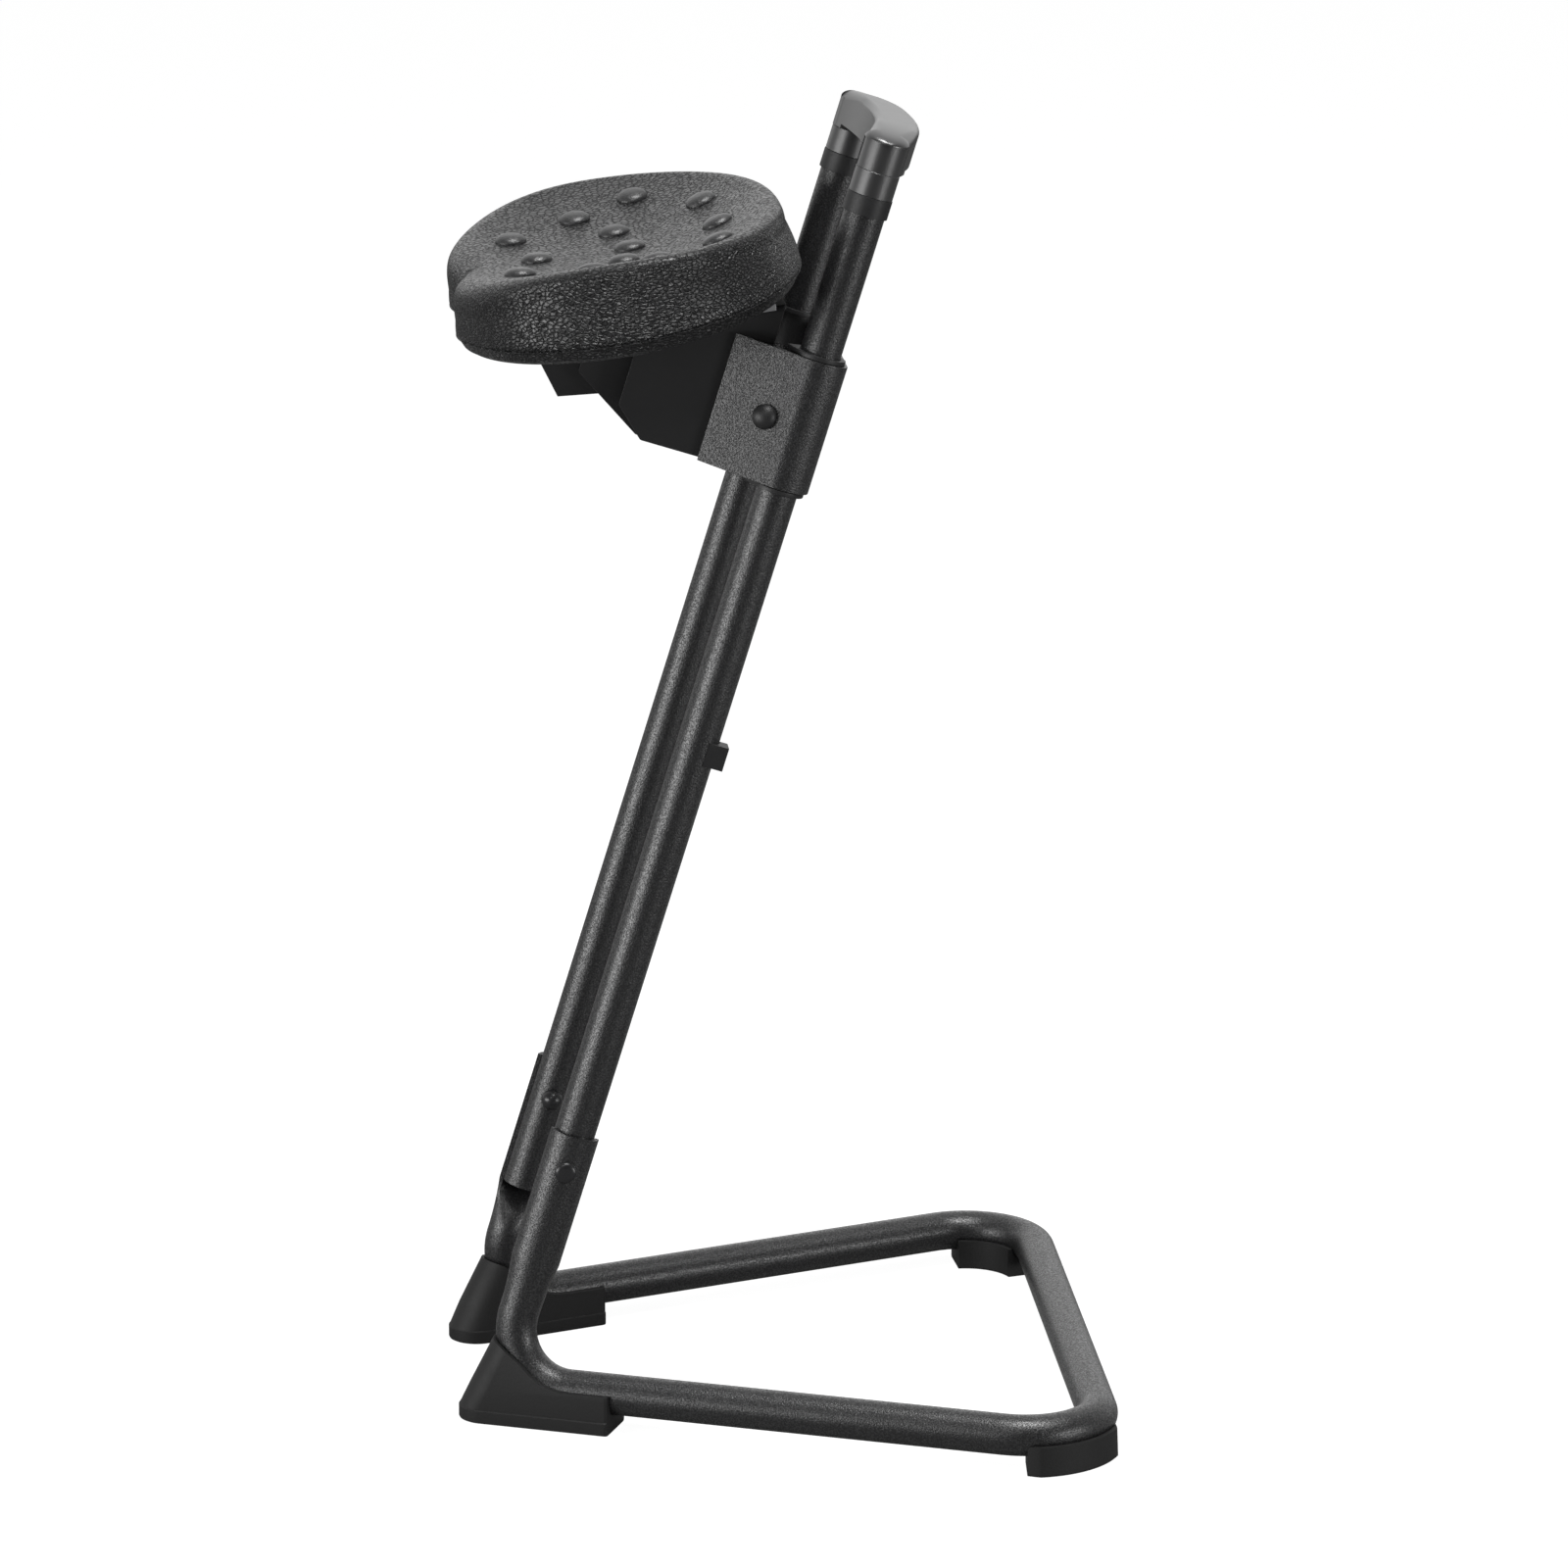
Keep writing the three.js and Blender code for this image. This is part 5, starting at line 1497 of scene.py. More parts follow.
@dataclass
class Handle:
    """The bow handle with its crown, legs and sockets, and the collars under it."""

    mast: Mast
    seam: float = 0.900  # bow's lower edge along the mast
    rise: float = 0.0283
    wall: float = 0.0012
    bow: float = 0.013  # how far back its middle stands
    crown_rise: float = 0.0196  # lower edge of the crown above the seam
    crown_lip: float = 0.0006  # how far the crown's ends reach past the bow's half depth
    leg_inset: float = 0.0005
    dome_start: float = 0.045  # where the crown's top starts to fall towards its end
    dome_power: float = 2.2
    end_corner_across: float = 0.0095
    end_corner_rise: float = 0.0085
    corner: float = 0.0045
    grip_rise: float = 0.003
    grip_half_width: float = 0.072
    socket_wall: float = 0.0008
    socket_height: float = 0.0167
    bore_rise: float = 0.0153
    groove: float = 0.00035
    collar_wall: float = 0.0012
    collar_height: float = 0.013
    most_across: float = 0.7  # a corner's most width, as a share of half the section's depth
    most_rise: float = 0.9  # its most height, as a share of the section's
    most_foot: float = 0.05  # and that of the lower corners
    span_steps: int = 36
    end_steps: int = 16
    end_margin: float = 0.4  # part of a step left out at the crown's ends, where the section would vanish
    corner_steps: int = 8
    sides: int = 96
    sharp_degrees: float = 40

    @property
    def half_depth(self) -> float:
        """Half the bow's depth, and the radius of its legs."""
        return self.mast.bore + self.wall

    def top(self, x: float) -> float:
        """Height of the crown's top along the mast, which falls in a dome towards both ends.

        Args:
            x: Distance from the middle.

        Returns:
            The height.
        """
        reach = self.mast.tube_x + self.half_depth + self.crown_lip
        share = min(1.0, max(0.0, abs(x) - self.dome_start) / (reach - self.dome_start))
        fall = (1 - share**self.dome_power) ** (1 / self.dome_power)
        return self.seam + self.crown_rise + (self.rise - self.crown_rise) * fall

    def ring(self, x: float, half_depth: float, low: float, high: float) -> np.ndarray:
        """One section of the bow, a rectangle whose upper corners grow rounder towards the ends.

        Args:
            x: Its distance from the middle.
            half_depth: Half its depth.
            low: Its lower edge along the mast.
            high: Its upper edge.

        Returns:
            The section's points in mast coordinates.
        """
        bow = self.bow * max(0.0, 1 - (x / self.mast.tube_x) ** 2)
        share = min(1.0, max(0.0, abs(x) - self.dome_start) / (self.mast.tube_x - self.dome_start))
        share = share * share * (3 - 2 * share)
        tall = high - low
        across = min(
            self.corner + (self.end_corner_across - self.corner) * share, half_depth * self.most_across
        )
        rise = min(self.corner + (self.end_corner_rise - self.corner) * share, tall * self.most_rise)
        foot = min(self.groove, tall * self.most_foot)
        places = [
            (bow + half_depth - across, high - rise, 0, across, rise),
            (bow - half_depth + across, high - rise, 1, across, rise),
            (bow - half_depth + foot, low + foot, 2, foot, foot),
            (bow + half_depth - foot, low + foot, 3, foot, foot),
        ]
        return np.array([
            (x, n + wide * math.cos(t), s + deep * math.sin(t))
            for n, s, quarter, wide, deep in places
            for t in (np.arange(self.corner_steps + 1) / self.corner_steps + quarter) * QUARTER_TURN
        ])

    def bow_shape(self) -> Shape:
        """The bow over both uprights, whose crown alone goes on past their axes.

        Returns:
            The bow in mast coordinates.
        """
        axis = self.mast.tube_x
        radius = self.half_depth
        crown_low = self.seam + self.crown_rise
        half = []
        for i in range(self.span_steps + 1):
            x = axis * i / self.span_steps
            half.append(self.ring(x, radius, self.seam, self.top(x)))
        for i in range(self.end_steps + 1):
            turn = QUARTER_TURN * i / (self.end_steps + self.end_margin)
            x = axis + (radius + self.crown_lip) * math.sin(turn)
            half.append(self.ring(x, radius * math.cos(turn), crown_low, self.top(x)))
        flip = np.array([-1, 1, 1])
        return loft(np.array([ring * flip for ring in reversed(half[1:])] + half))

    def build(self) -> None:
        """Builds the handle and both collars."""
        mast = self.mast
        radius = self.half_depth
        seam, groove = self.seam, self.groove
        leg = radius - self.leg_inset
        leg_top = seam + self.crown_rise + groove
        handle = self.bow_shape().make("bow_handle")
        gap = self.grip_half_width
        depth = radius + self.bow * 2
        opening = [(-gap, -depth), (gap, -depth), (gap, depth), (-gap, depth)]
        cut(handle, prism(opening, seam - self.rise, seam + self.grip_rise))
        low = seam - self.socket_height
        outer = mast.bore + self.socket_wall
        bore = lathe(rod(mast.bore, low - radius, seam + self.bore_rise), self.sides)
        profile = [(0, low), (outer, low), (outer, seam - groove), (outer - groove, seam)]
        socket = lathe([*profile, (leg, seam), (leg, leg_top), (0, leg_top)], self.sides)
        for side in Side:
            shift = Matrix.Translation((side.value * mast.tube_x, 0, 0))
            join(handle, socket.moved(shift))
            cut(handle, bore.moved(shift))
        handle.data.transform(mast.matrix())
        soften(handle, EDGE, self.sharp_degrees)
        hand_over(handle, Body.FRAME, Slot.GLOSS_PLASTIC, "top_handle")
        for side in Side:
            self.build_collar(side, low - FIT)

    def build_collar(self, side: Side, top: float) -> None:
        """Builds one collar.

        Args:
            side: Left or right.
            top: Its upper end along the upright.
        """
        inner = self.mast.bore
        outer = inner + self.collar_wall
        collar = lathe(pipe(inner, outer, top - self.collar_height, top), self.sides)
        piece = collar.moved(self.mast.on_tube()).on(side).make(f"collar_{side.name}")
        soften(piece, FINE_EDGE)
        hand_over(piece, Body.FRAME, Slot.MATTE_PLASTIC, f"handle_collar_{side.name}")


@dataclass
class Carriage:
    """The sleeve with its bushes, and the pivot bolt with its spacers and caps."""

    mast: Mast
    bottom: float = 0.6785  # sleeve's lower edge along the mast
    length: float = 0.090
    wall: float = 0.0022
    bush_wall: float = 0.0012
    cheek_angle: float = math.radians(24.5)
    rear_swell: float = 0.0022  # how far the rear bend stands off the bushes
    reach: float = 0.057  # side plates' front edges ahead of the uprights' axes
    bend_steps: int = 32
    flange_ledge: float = 0.0035
    flange_thickness: float = 0.003
    bush_depth: float = 0.0225
    nose: float = 0.0042
    nose_inset: float = 0.003
    nose_radius: float = 0.0015
    nose_reach: float = 0.94  # the tip's middle, as a share of the nose's reach
    nose_turn: float = 1.0  # half the angle that the tip is rounded over
    nose_steps: int = 6
    bush_steps: int = 72
    bush_sides: int = 96
    bolt_radius: float = 0.005
    bolt_end: float = 0.0012
    spacer_radius: float = 0.008
    cap_radius: float = 0.0085
    cap_height: float = 0.0069
    cap_rim: float = 0.0012
    cap_steps: int = 16
    bolt_sides: int = 48

    @property
    def sleeve_radius(self) -> float:
        """Outside radius of the sleeve's bends."""
        return self.mast.bore + self.bush_wall + FIT + self.wall

    def cheek_outside(self, ahead: float) -> float:
        """The side plate's outer face at a distance ahead of the uprights' axes.

        Args:
            ahead: The distance.

        Returns:
            The face's distance from the stool's middle.
        """
        bend = self.sleeve_radius * math.sin(self.cheek_angle)
        closing = (ahead - bend) * math.tan(self.cheek_angle)
        return self.mast.tube_x + self.sleeve_radius * math.cos(self.cheek_angle) - closing

    def build(self) -> None:
        """Builds every piece of the carriage."""
        self.build_sleeve()
        self.build_bolt()
        for side in Side:
            self.build_bush(side, is_top=True)
            self.build_bush(side, is_top=False)
            self.build_cap(side)
            self.build_spacer(side)

    def build_sleeve(self) -> None:
        """Builds the folded sleeve from its outer face."""
        radius = self.sleeve_radius
        cos, sin = math.cos(self.cheek_angle), math.sin(self.cheek_angle)
        plate = (self.reach - radius * sin) / cos
        bend_x = self.mast.tube_x + radius * cos
        half = [(bend_x - plate * sin, -radius * sin - plate * cos)]
        bend = arc((self.mast.tube_x, 0), radius, -self.cheek_angle, QUARTER_TURN, self.bend_steps)
        half += [(x, y + self.rear_swell * max(0.0, y / radius)) for x, y in bend]
        outline = np.array(half + [(-x, y) for x, y in reversed(half)])
        count = len(outline)
        points = np.vstack([np.column_stack([outline, np.full(count, z)]) for z in (0, self.length)])
        faces = [(i, i + 1, count + i + 1, count + i) for i in range(count - 1)]
        sleeve = Shape(points, faces).moved(self.mast.matrix(0, self.bottom)).make("sleeve_shell")
        if sleeve.data.polygons[0].normal.x <= 0:
            sleeve.data.flip_normals()
        thicken(sleeve, self.wall)
        soften(sleeve, SHEET_EDGE)
        hand_over(sleeve, Body.CARRIAGE, Slot.POWDER_COAT, "carriage_sleeve")

    def bush_outline(self, radius: float) -> list[Point]:
        """A bush's outline: a circle about the upright, drawn out to a nose at the front.

        Args:
            radius: The circle's radius.

        Returns:
            The outline.
        """
        tip = (-self.nose_inset, -self.mast.bore - self.flange_ledge - self.nose)
        facing = math.atan2(tip[1], tip[0])
        spread = math.acos(radius / math.hypot(*tip))
        round_tube = arc((0, 0), radius, facing + spread, facing + FULL_TURN - spread, self.bush_steps)
        middle = (tip[0] * self.nose_reach, tip[1] * self.nose_reach)
        low, high = facing - self.nose_turn, facing + self.nose_turn
        return round_tube + arc(middle, self.nose_radius, low, high, self.nose_steps)

    def build_bush(self, side: Side, is_top: bool) -> None:
        """Builds one guide bush.

        Args:
            side: Left or right.
            is_top: Whether it sits in the sleeve's upper end.
        """
        flange_from = self.length + FIT if is_top else -FIT - self.flange_thickness
        flange_to = flange_from + self.flange_thickness
        inside = self.length - self.bush_depth if is_top else self.bush_depth
        flange = prism(self.bush_outline(self.mast.bore + self.flange_ledge), flange_from, flange_to)
        middle = (flange_from + flange_to) / 2
        body = self.bush_outline(self.mast.bore + self.bush_wall)
        level = "top" if is_top else "bottom"
        bush = flange.make(f"guide_{level}_{side.name}")
        join(bush, prism(body, min(middle, inside), max(middle, inside)))
        cut(bush, lathe(rod(self.mast.bore, -self.length, 2 * self.length), self.bush_sides))
        bush.data.transform(self.mast.on_tube(self.bottom))
        mirror_to(bush, side)
        soften(bush, EDGE)
        hand_over(bush, Body.CARRIAGE, Slot.MATTE_PLASTIC, f"bush_{level}_{side.name}")

    def build_bolt(self) -> None:
        """Builds the pivot bolt."""
        reach = self.cheek_outside(self.mast.pivot_reach) + self.bolt_end
        bolt = along_x(lathe(rod(self.bolt_radius, -reach, reach), self.bolt_sides))
        bolt = bolt.moved(self.mast.pivot_place()).make("cross_bolt")
        soften(bolt, EDGE)
        hand_over(bolt, Body.CARRIAGE, Slot.ZINC_STEEL, "pivot_bolt")

    def build_spacer(self, side: Side) -> None:
        """Builds the spacer between the bracket and the side plate.

        Args:
            side: Left or right.
        """
        inside = self.cheek_outside(self.mast.pivot_reach + self.spacer_radius)
        end = inside - self.wall / math.cos(self.cheek_angle) - FIT
        profile = pipe(self.bolt_radius + FIT, self.spacer_radius, BRACKET_HALF + FIT, end)
        spacer = along_x(lathe(profile)).moved(self.mast.pivot_place()).on(side)
        piece = spacer.make(f"side_spacer_{side.name}")
        soften(piece, FINE_EDGE)
        hand_over(piece, Body.CARRIAGE, Slot.ZINC_STEEL, f"pivot_spacer_{side.name}")

    def build_cap(self, side: Side) -> None:
        """Builds the domed cap over the pivot bolt's end.

        Args:
            side: Left or right.
        """
        radius, rim = self.cap_radius, self.cap_rim
        profile = [(0, FIT), (radius, FIT), (radius, rim)]
        profile += dome(radius, rim, self.cap_height - rim, self.cap_steps)
        turn = Matrix.Rotation(-self.cheek_angle, 4, "Z")
        seat = Matrix.Translation((self.cheek_outside(self.mast.pivot_reach), 0, 0))
        cap = along_x(lathe(profile)).moved(self.mast.pivot_place() @ seat @ turn).on(side)
        piece = cap.make(f"dome_cap_{side.name}")
        soften(piece, EDGE, STEPPED_DEGREES)
        hand_over(piece, Body.CARRIAGE, Slot.MATTE_PLASTIC, f"pivot_cap_{side.name}")


@dataclass
class SeatMount:
    """The folded channels, the pan, the shoes, the plate and the screws under the pad."""

    mast: Mast
    pad_forward: float
    pad_turn: float
    pad_rise: float = 0.027
    sheet: float = 0.003
    channel_half: float = 0.05958
    fold: float = 0.004
    fold_steps: int = 6
    corner: float = 0.003
    front: float = 0.0935
    depth: float = 0.042
    chamfer_rise: float = 0.019
    chamfer_run: float = 0.0208
    rear: float = 0.0085
    shoulder: float = 0.011
    rear_slope_run: float = 0.0145
    rear_slope_rise: float = 0.024
    channel_front: float = 0.124
    channel_front_depth: float = 0.012
    channel_slope: float = 0.049
    channel_rear_gap: float = 0.021
    spacer_bore: float = 0.0053
    spacer_radius: float = 0.008
    flat_angle: float = math.radians(1)  # faces that meet flatter than this become one
    screw_length: float = 0.0117
    screw_sides: int = 32
    # A screw's corners from its socket's floor to its tip: radius, and height above its head's face
    screw_profile: tuple[Point, ...] = (
        (0, 0.0012), (0.0022, 0.0012), (0.0022, 0), (0.0036, 0), (0.005, 0.0017), (0.005, 0.0035),
        (0.003, 0.0035), (0.003, 0.0117), (0, 0.0117),
    )

    def pad_place(self) -> Matrix:
        """Carries the pad's own coordinates into the scene."""
        place = self.mast.pivot_place() @ Matrix.Translation((0, -self.pad_forward, self.pad_rise))
        return place @ Matrix.Rotation(self.pad_turn, 4, "X")

    def web_height(self, n: float, drop: float) -> float:
        """Height above the pivot of a plane at a drop below the pad's sole, n behind the pivot."""
        sole = self.pad_rise + (n + self.pad_forward) * math.tan(self.pad_turn)
        return sole - drop / math.cos(self.pad_turn)

    def channel(self, name: str, corners: Sequence[Point], half: float, drop: float) -> bpy.types.Object:
        """Folds a channel: two side plates and the web that joins them under the pad.

        Args:
            name: The object's name.
            corners: Lower corners of a side plate from front to rear, from the pivot.
            half: Half the channel's width.
            drop: Depth of the web's upper face below the pad's underside.

        Returns:
            The channel.
        """
        front, rear = corners[0][0], corners[-1][0]
        closed = [(front, self.web_height(front, drop)), *corners, (rear, self.web_height(rear, drop))]
        curved = rounded(closed, self.corner)
        per_corner = CORNER_STEPS + 1
        plate = [closed[0]] + curved[per_corner:-per_corner] + [closed[-1]]
        count = len(plate)
        points = np.array([(x, n, s) for x in (half, -half) for n, s in plate])
        faces = [
            tuple(range(count)),
            tuple(reversed(range(count, 2 * count))),
            (0, count - 1, 2 * count - 1, count),
        ]
        skin = Shape(points, faces).make(name)
        with editing(skin.data) as work:
            folds = [edge for edge in work.edges if len(edge.link_faces) == 2]
            bmesh.ops.bevel(
                work, geom=folds, offset=self.fold, segments=self.fold_steps, profile=0.5, affect="EDGES"
            )
        skin.data.transform(self.mast.pivot_place())
        if max(skin.data.polygons, key=lambda face: face.center.x).normal.x < 0:
            skin.data.flip_normals()
        thicken(skin, self.sheet)
        soften(skin, SHEET_EDGE)
        return skin

    def build(self, studs: StudTree) -> None:
        """Builds every piece between the carriage and the pad.

        Args:
            studs: The tree that sets the screws.
        """
        bracket = [
            (-self.front, -self.depth + self.chamfer_rise),
            (-self.front + self.chamfer_run, -self.depth),
            (self.rear, -self.depth),
            (self.rear, self.shoulder),
            (self.rear - self.rear_slope_run, self.shoulder + self.rear_slope_rise),
        ]
        outer = self.channel("outer_bracket", bracket, BRACKET_HALF, FIT)
        hand_over(outer, Body.SEAT, Slot.BLACK_SHEET, "bracket_outer")
        channel = [
            (-self.channel_front, -self.channel_front_depth),
            (-self.channel_front + self.channel_slope, -self.depth),
            (-self.channel_rear_gap, -self.depth),
        ]
        inner = self.channel("inner_channel", channel, self.channel_half, self.sheet + 2 * FIT)
        hand_over(inner, Body.SEAT, Slot.BLACK_SHEET, "bracket_inner")
        self.build_copies()
        self.build_screws(studs)
        self.build_spacer()

    def build_copies(self) -> None:
        """Softens the edges of the plain blocks and plates that the frame already gives."""
        # Each piece's node, its slot and the rounding of its edges
        pieces = {
            "front_pan": ("seat_pan", Slot.BLACK_SHEET, 0.0009),
            "plate_under_pad": ("seat_base_plate", Slot.ZINC_STEEL, 0.0005),
            "clamp_left": ("brake_shoe_left", Slot.MATTE_PLASTIC, 0.0006),
            "clamp_right": ("brake_shoe_right", Slot.MATTE_PLASTIC, 0.0006),
        }
        for name, (node, slot, edge) in pieces.items():
            piece = add_object(name, frame["nodes"][node].data.copy())
            with editing(piece.data) as work:
                bmesh.ops.remove_doubles(work, verts=work.verts, dist=WELD)
                bmesh.ops.dissolve_limit(
                    work, angle_limit=self.flat_angle, verts=work.verts, edges=work.edges
                )
            soften(piece, edge)
            hand_over(piece, Body.SEAT, slot, node)

    def build_spacer(self) -> None:
        """Builds the tube between the bracket's side plates."""
        end = BRACKET_HALF - self.sheet - FIT
        tube = along_x(lathe(pipe(self.spacer_bore, self.spacer_radius, -end, end)))
        piece = tube.moved(self.mast.pivot_place()).make("centre_spacer")
        soften(piece, FINE_EDGE)
        hand_over(piece, Body.SEAT, Slot.ZINC_STEEL, "pivot_spacer_centre")

    def build_screws(self, studs: StudTree) -> None:
        """Sets the four screws that hold the bracket to the plate.

        Args:
            studs: The tree that sets them.
        """
        nodes = [f"seat_screw_{i}" for i in range(1, 5)]
        centres = np.array([sum(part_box(node), Vector()) / 2 for node in nodes])
        upwards = self.pad_place().to_3x3() @ Vector((0, 0, 1))
        profile = [(radius, height - self.screw_length / 2) for radius, height in self.screw_profile]
        stud = lathe(profile, self.screw_sides).make("screw")
        directions = np.array([upwards] * len(centres))
        screws = point_mesh("pad_screws", centres, {"upright": directions}, linked=False)
        studs.run(screws, {"Stud": stud, "Material": PAINT.material(Slot.ZINC_STEEL)})
        bpy.data.objects.remove(stud)
        smooth(screws)
        hand_over(screws, Body.SEAT, Slot.ZINC_STEEL, *nodes)


@dataclass
class SeatPad:
    """The moulded saddle pad in its own frame: x across, y to the rear, z up from its flat sole."""

    place: Matrix
    half_width: float = 0.178
    rear: float = 0.123
    rear_bulge: float = 0.0022
    front: float = 0.1175
    rear_power: float = 2.3
    front_power: float = 2.35
    hollow_depth: float = 0.012  # wide hollow of the front between the thighs
    hollow_half_width: float = 0.044
    notch_depth: float = 0.0025
    notch_half_width: float = 0.005
    dish_height: float = 0.0398
    side_rise: float = 0.0229
    side_reach: float = 0.168
    side_power: float = 2.3
    rear_rise: float = 0.026
    front_rise: float = 0.0126
    end_reach: float = 0.118
    end_power: float = 2.6
    belt: float = 0.0115  # height where the wall starts
    parting: float = 0.0095
    parting_inset: float = 0.0006
    undercut: float = 0.0022
    undercut_inset: float = 0.0048
    sole_inset: float = 0.0085
    flat_inset: float = 0.045
    rear_lift: float = 0.009  # how far the lower edge rises towards the rear
    lift_power: float = 1.2
    side_draw: float = 0.0045  # how far the wall leans in up to the rim
    rear_draw: float = 0.0065
    front_draw: float = 0.0008
    rim: float = 0.009
    front_rim: float = 0.028
    rear_rim: float = 0.013
    rim_sharpness: float = 0.6  # 1 is round and less is squarer
    draw_power: float = 1.5
    # Rings round the undercut and the parting line, with its fine ridge: what each adds to the
    # line's inset and height
    undercut_rings: tuple[Point, ...] = ((0.0012, -0.0005), (0.0002, -0.0001), (-0.0004, 0.0005))
    parting_rings: tuple[Point, ...] = (
        (0.0006, -0.0011), (0.0004, -0.0005), (-0.0009, -0.0001), (-0.0009, 0.0001), (0.0001, 0.0005),
        (-0.0003, 0.0012),
    )
    divisions: int = 720
    rim_steps: int = 16
    wall_steps: int = 14
    top_steps: int = 56
    fill: float = 0.9
    bump_radius: float = 0.01075
    bump_height: float = 0.0054
    bump_sunk: float = 0.0012  # depth of its foot below the top
    bump_rim: float = 0.0002
    bump_power: float = 0.75
    bump_steps: int = 12
    bump_sides: int = 56
    smooth_degrees: float = 60
    bump_degrees: float = 50
    bump_places: tuple[Point, ...] = (
        (0.1254, 0.0245), (0.0784, 0.0687), (0, 0.0741), (0.1003, -0.0177),
        (0.0561, 0.0059), (0, 0.0132), (0.0655, -0.0639), (0, -0.0501),
    )

    def height(self, x: np.ndarray, y: np.ndarray) -> np.ndarray:
        """Height of the dished top.

        Args:
            x: Distance across.
            y: Distance to the rear.

        Returns:
            The height above the sole.
        """
        side = self.side_rise * (np.abs(x) / self.side_reach) ** self.side_power
        rear = self.rear_rise * (np.maximum(0, y) / self.end_reach) ** self.end_power
        front = self.front_rise * (np.maximum(0, -y) / self.end_reach) ** self.end_power
        return self.dish_height + side + rear + front

    def outline(self, turn: np.ndarray) -> np.ndarray:
        """The pad's widest line.

        Args:
            turn: Angles about the pad's middle.

        Returns:
            Its points, x and y.
        """
        cos, sin = np.cos(turn), np.sin(turn)
        power = np.where(sin > 0, self.rear_power, self.front_power)
        reach = np.where(sin > 0, self.rear + self.rear_bulge, self.front)
        x = np.sign(cos) * self.half_width * np.abs(cos) ** (2 / power)
        y = np.sign(sin) * reach * np.abs(sin) ** (2 / power)
        hollow = self.hollow_depth * np.exp(-((x / self.hollow_half_width) ** 2))
        notch = self.notch_depth * np.exp(-((x / self.notch_half_width) ** 2))
        return np.stack([x, y + np.where(sin < 0, hollow + notch, 0)], axis=1)

    def inset(self, edge: np.ndarray, distance: np.ndarray, height: np.ndarray) -> np.ndarray:
        """A ring at a height, drawn in from the widest line by a distance at each point."""
        scale = 1 - distance / np.linalg.norm(edge, axis=1)
        return np.column_stack([edge * scale[:, None], np.broadcast_to(height, scale.shape)])

    def rings(self) -> tuple[np.ndarray, list[float]]:
        """The pad's rings from its sole over the wall and the rim to the middle of its top.

        Returns:
            The rings, and how far each has the top's wrinkled skin.
        """
        turn = np.arange(self.divisions) / self.divisions * FULL_TURN
        edge = self.outline(turn)
        flat = np.zeros(self.divisions)
        rearness = np.maximum(0, np.sin(turn)) ** 2
        frontness = np.maximum(0, -np.sin(turn)) ** 2
        draw = (
            self.side_draw
            + (self.rear_draw - self.side_draw) * rearness
            + (self.front_draw - self.side_draw) * frontness
        )
        rim = self.rim + (self.front_rim - self.rim) * frontness + (self.rear_rim - self.rim) * rearness
        lift = self.rear_lift * np.clip(edge[:, 1] / self.rear, 0, 1) ** self.lift_power
        crest = self.inset(edge, draw + rim, flat)[:, :2]
        crest_height = self.height(*crest.T)
        wall_top = crest_height - rim
        lower = [(self.sole_inset, 0.0)]
        lower += [(self.undercut_inset + more, self.undercut + up) for more, up in self.undercut_rings]
        lower += [(self.parting_inset + more, self.parting + up) for more, up in self.parting_rings]
        rings = [self.inset(edge, flat + self.flat_inset, flat)]
        rings += [self.inset(edge, flat + distance, height + lift) for distance, height in lower]
        for share in np.arange(self.wall_steps) / self.wall_steps:
            height = self.belt + (wall_top - self.belt) * share + lift * (1 - share)
            rings.append(self.inset(edge, draw * share**self.draw_power, height))
        tops = [0.0] * len(rings)
        for share in np.arange(self.rim_steps + 1) / self.rim_steps:
            across = math.cos(share * QUARTER_TURN) ** self.rim_sharpness
            up = math.sin(share * QUARTER_TURN) ** self.rim_sharpness
            rings.append(self.inset(edge, draw + rim * (1 - across), crest_height - rim * (1 - up)))
            tops.append(float(share))
        for i in range(1, self.top_steps):
            x, y = (crest * (1 - i / self.top_steps)).T
            rings.append(np.column_stack([x, y, self.height(x, y)]))
            tops.append(1.0)
        return np.array(rings), tops

    def build(self, studs: StudTree) -> None:
        """Builds the pad and its bumps.

        Args:
            studs: The tree that sets the bumps.
        """
        rings, tops = self.rings()
        count = self.divisions
        shape = loft(rings, capped=False)
        middle = len(shape.points)
        last = middle - count
        points = np.vstack([shape.points, [[0, 0, 0], [0, 0, self.dish_height]]])
        faces = shape.faces
        faces += [(middle, (i + 1) % count, i) for i in range(count)]
        faces += [(middle + 1, last + i, last + (i + 1) % count) for i in range(count)]
        pad = Shape(points, faces).moved(self.place).make("saddle_pad")
        store(pad.data, TOP_ATTRIBUTE, np.concatenate([np.repeat(tops, count), [0.0, 1.0]]))
        smooth(pad, self.smooth_degrees)
        hand_over(pad, Body.SEAT, Slot.PAD_SKIN, "seat_pad")
        self.build_bumps(studs)

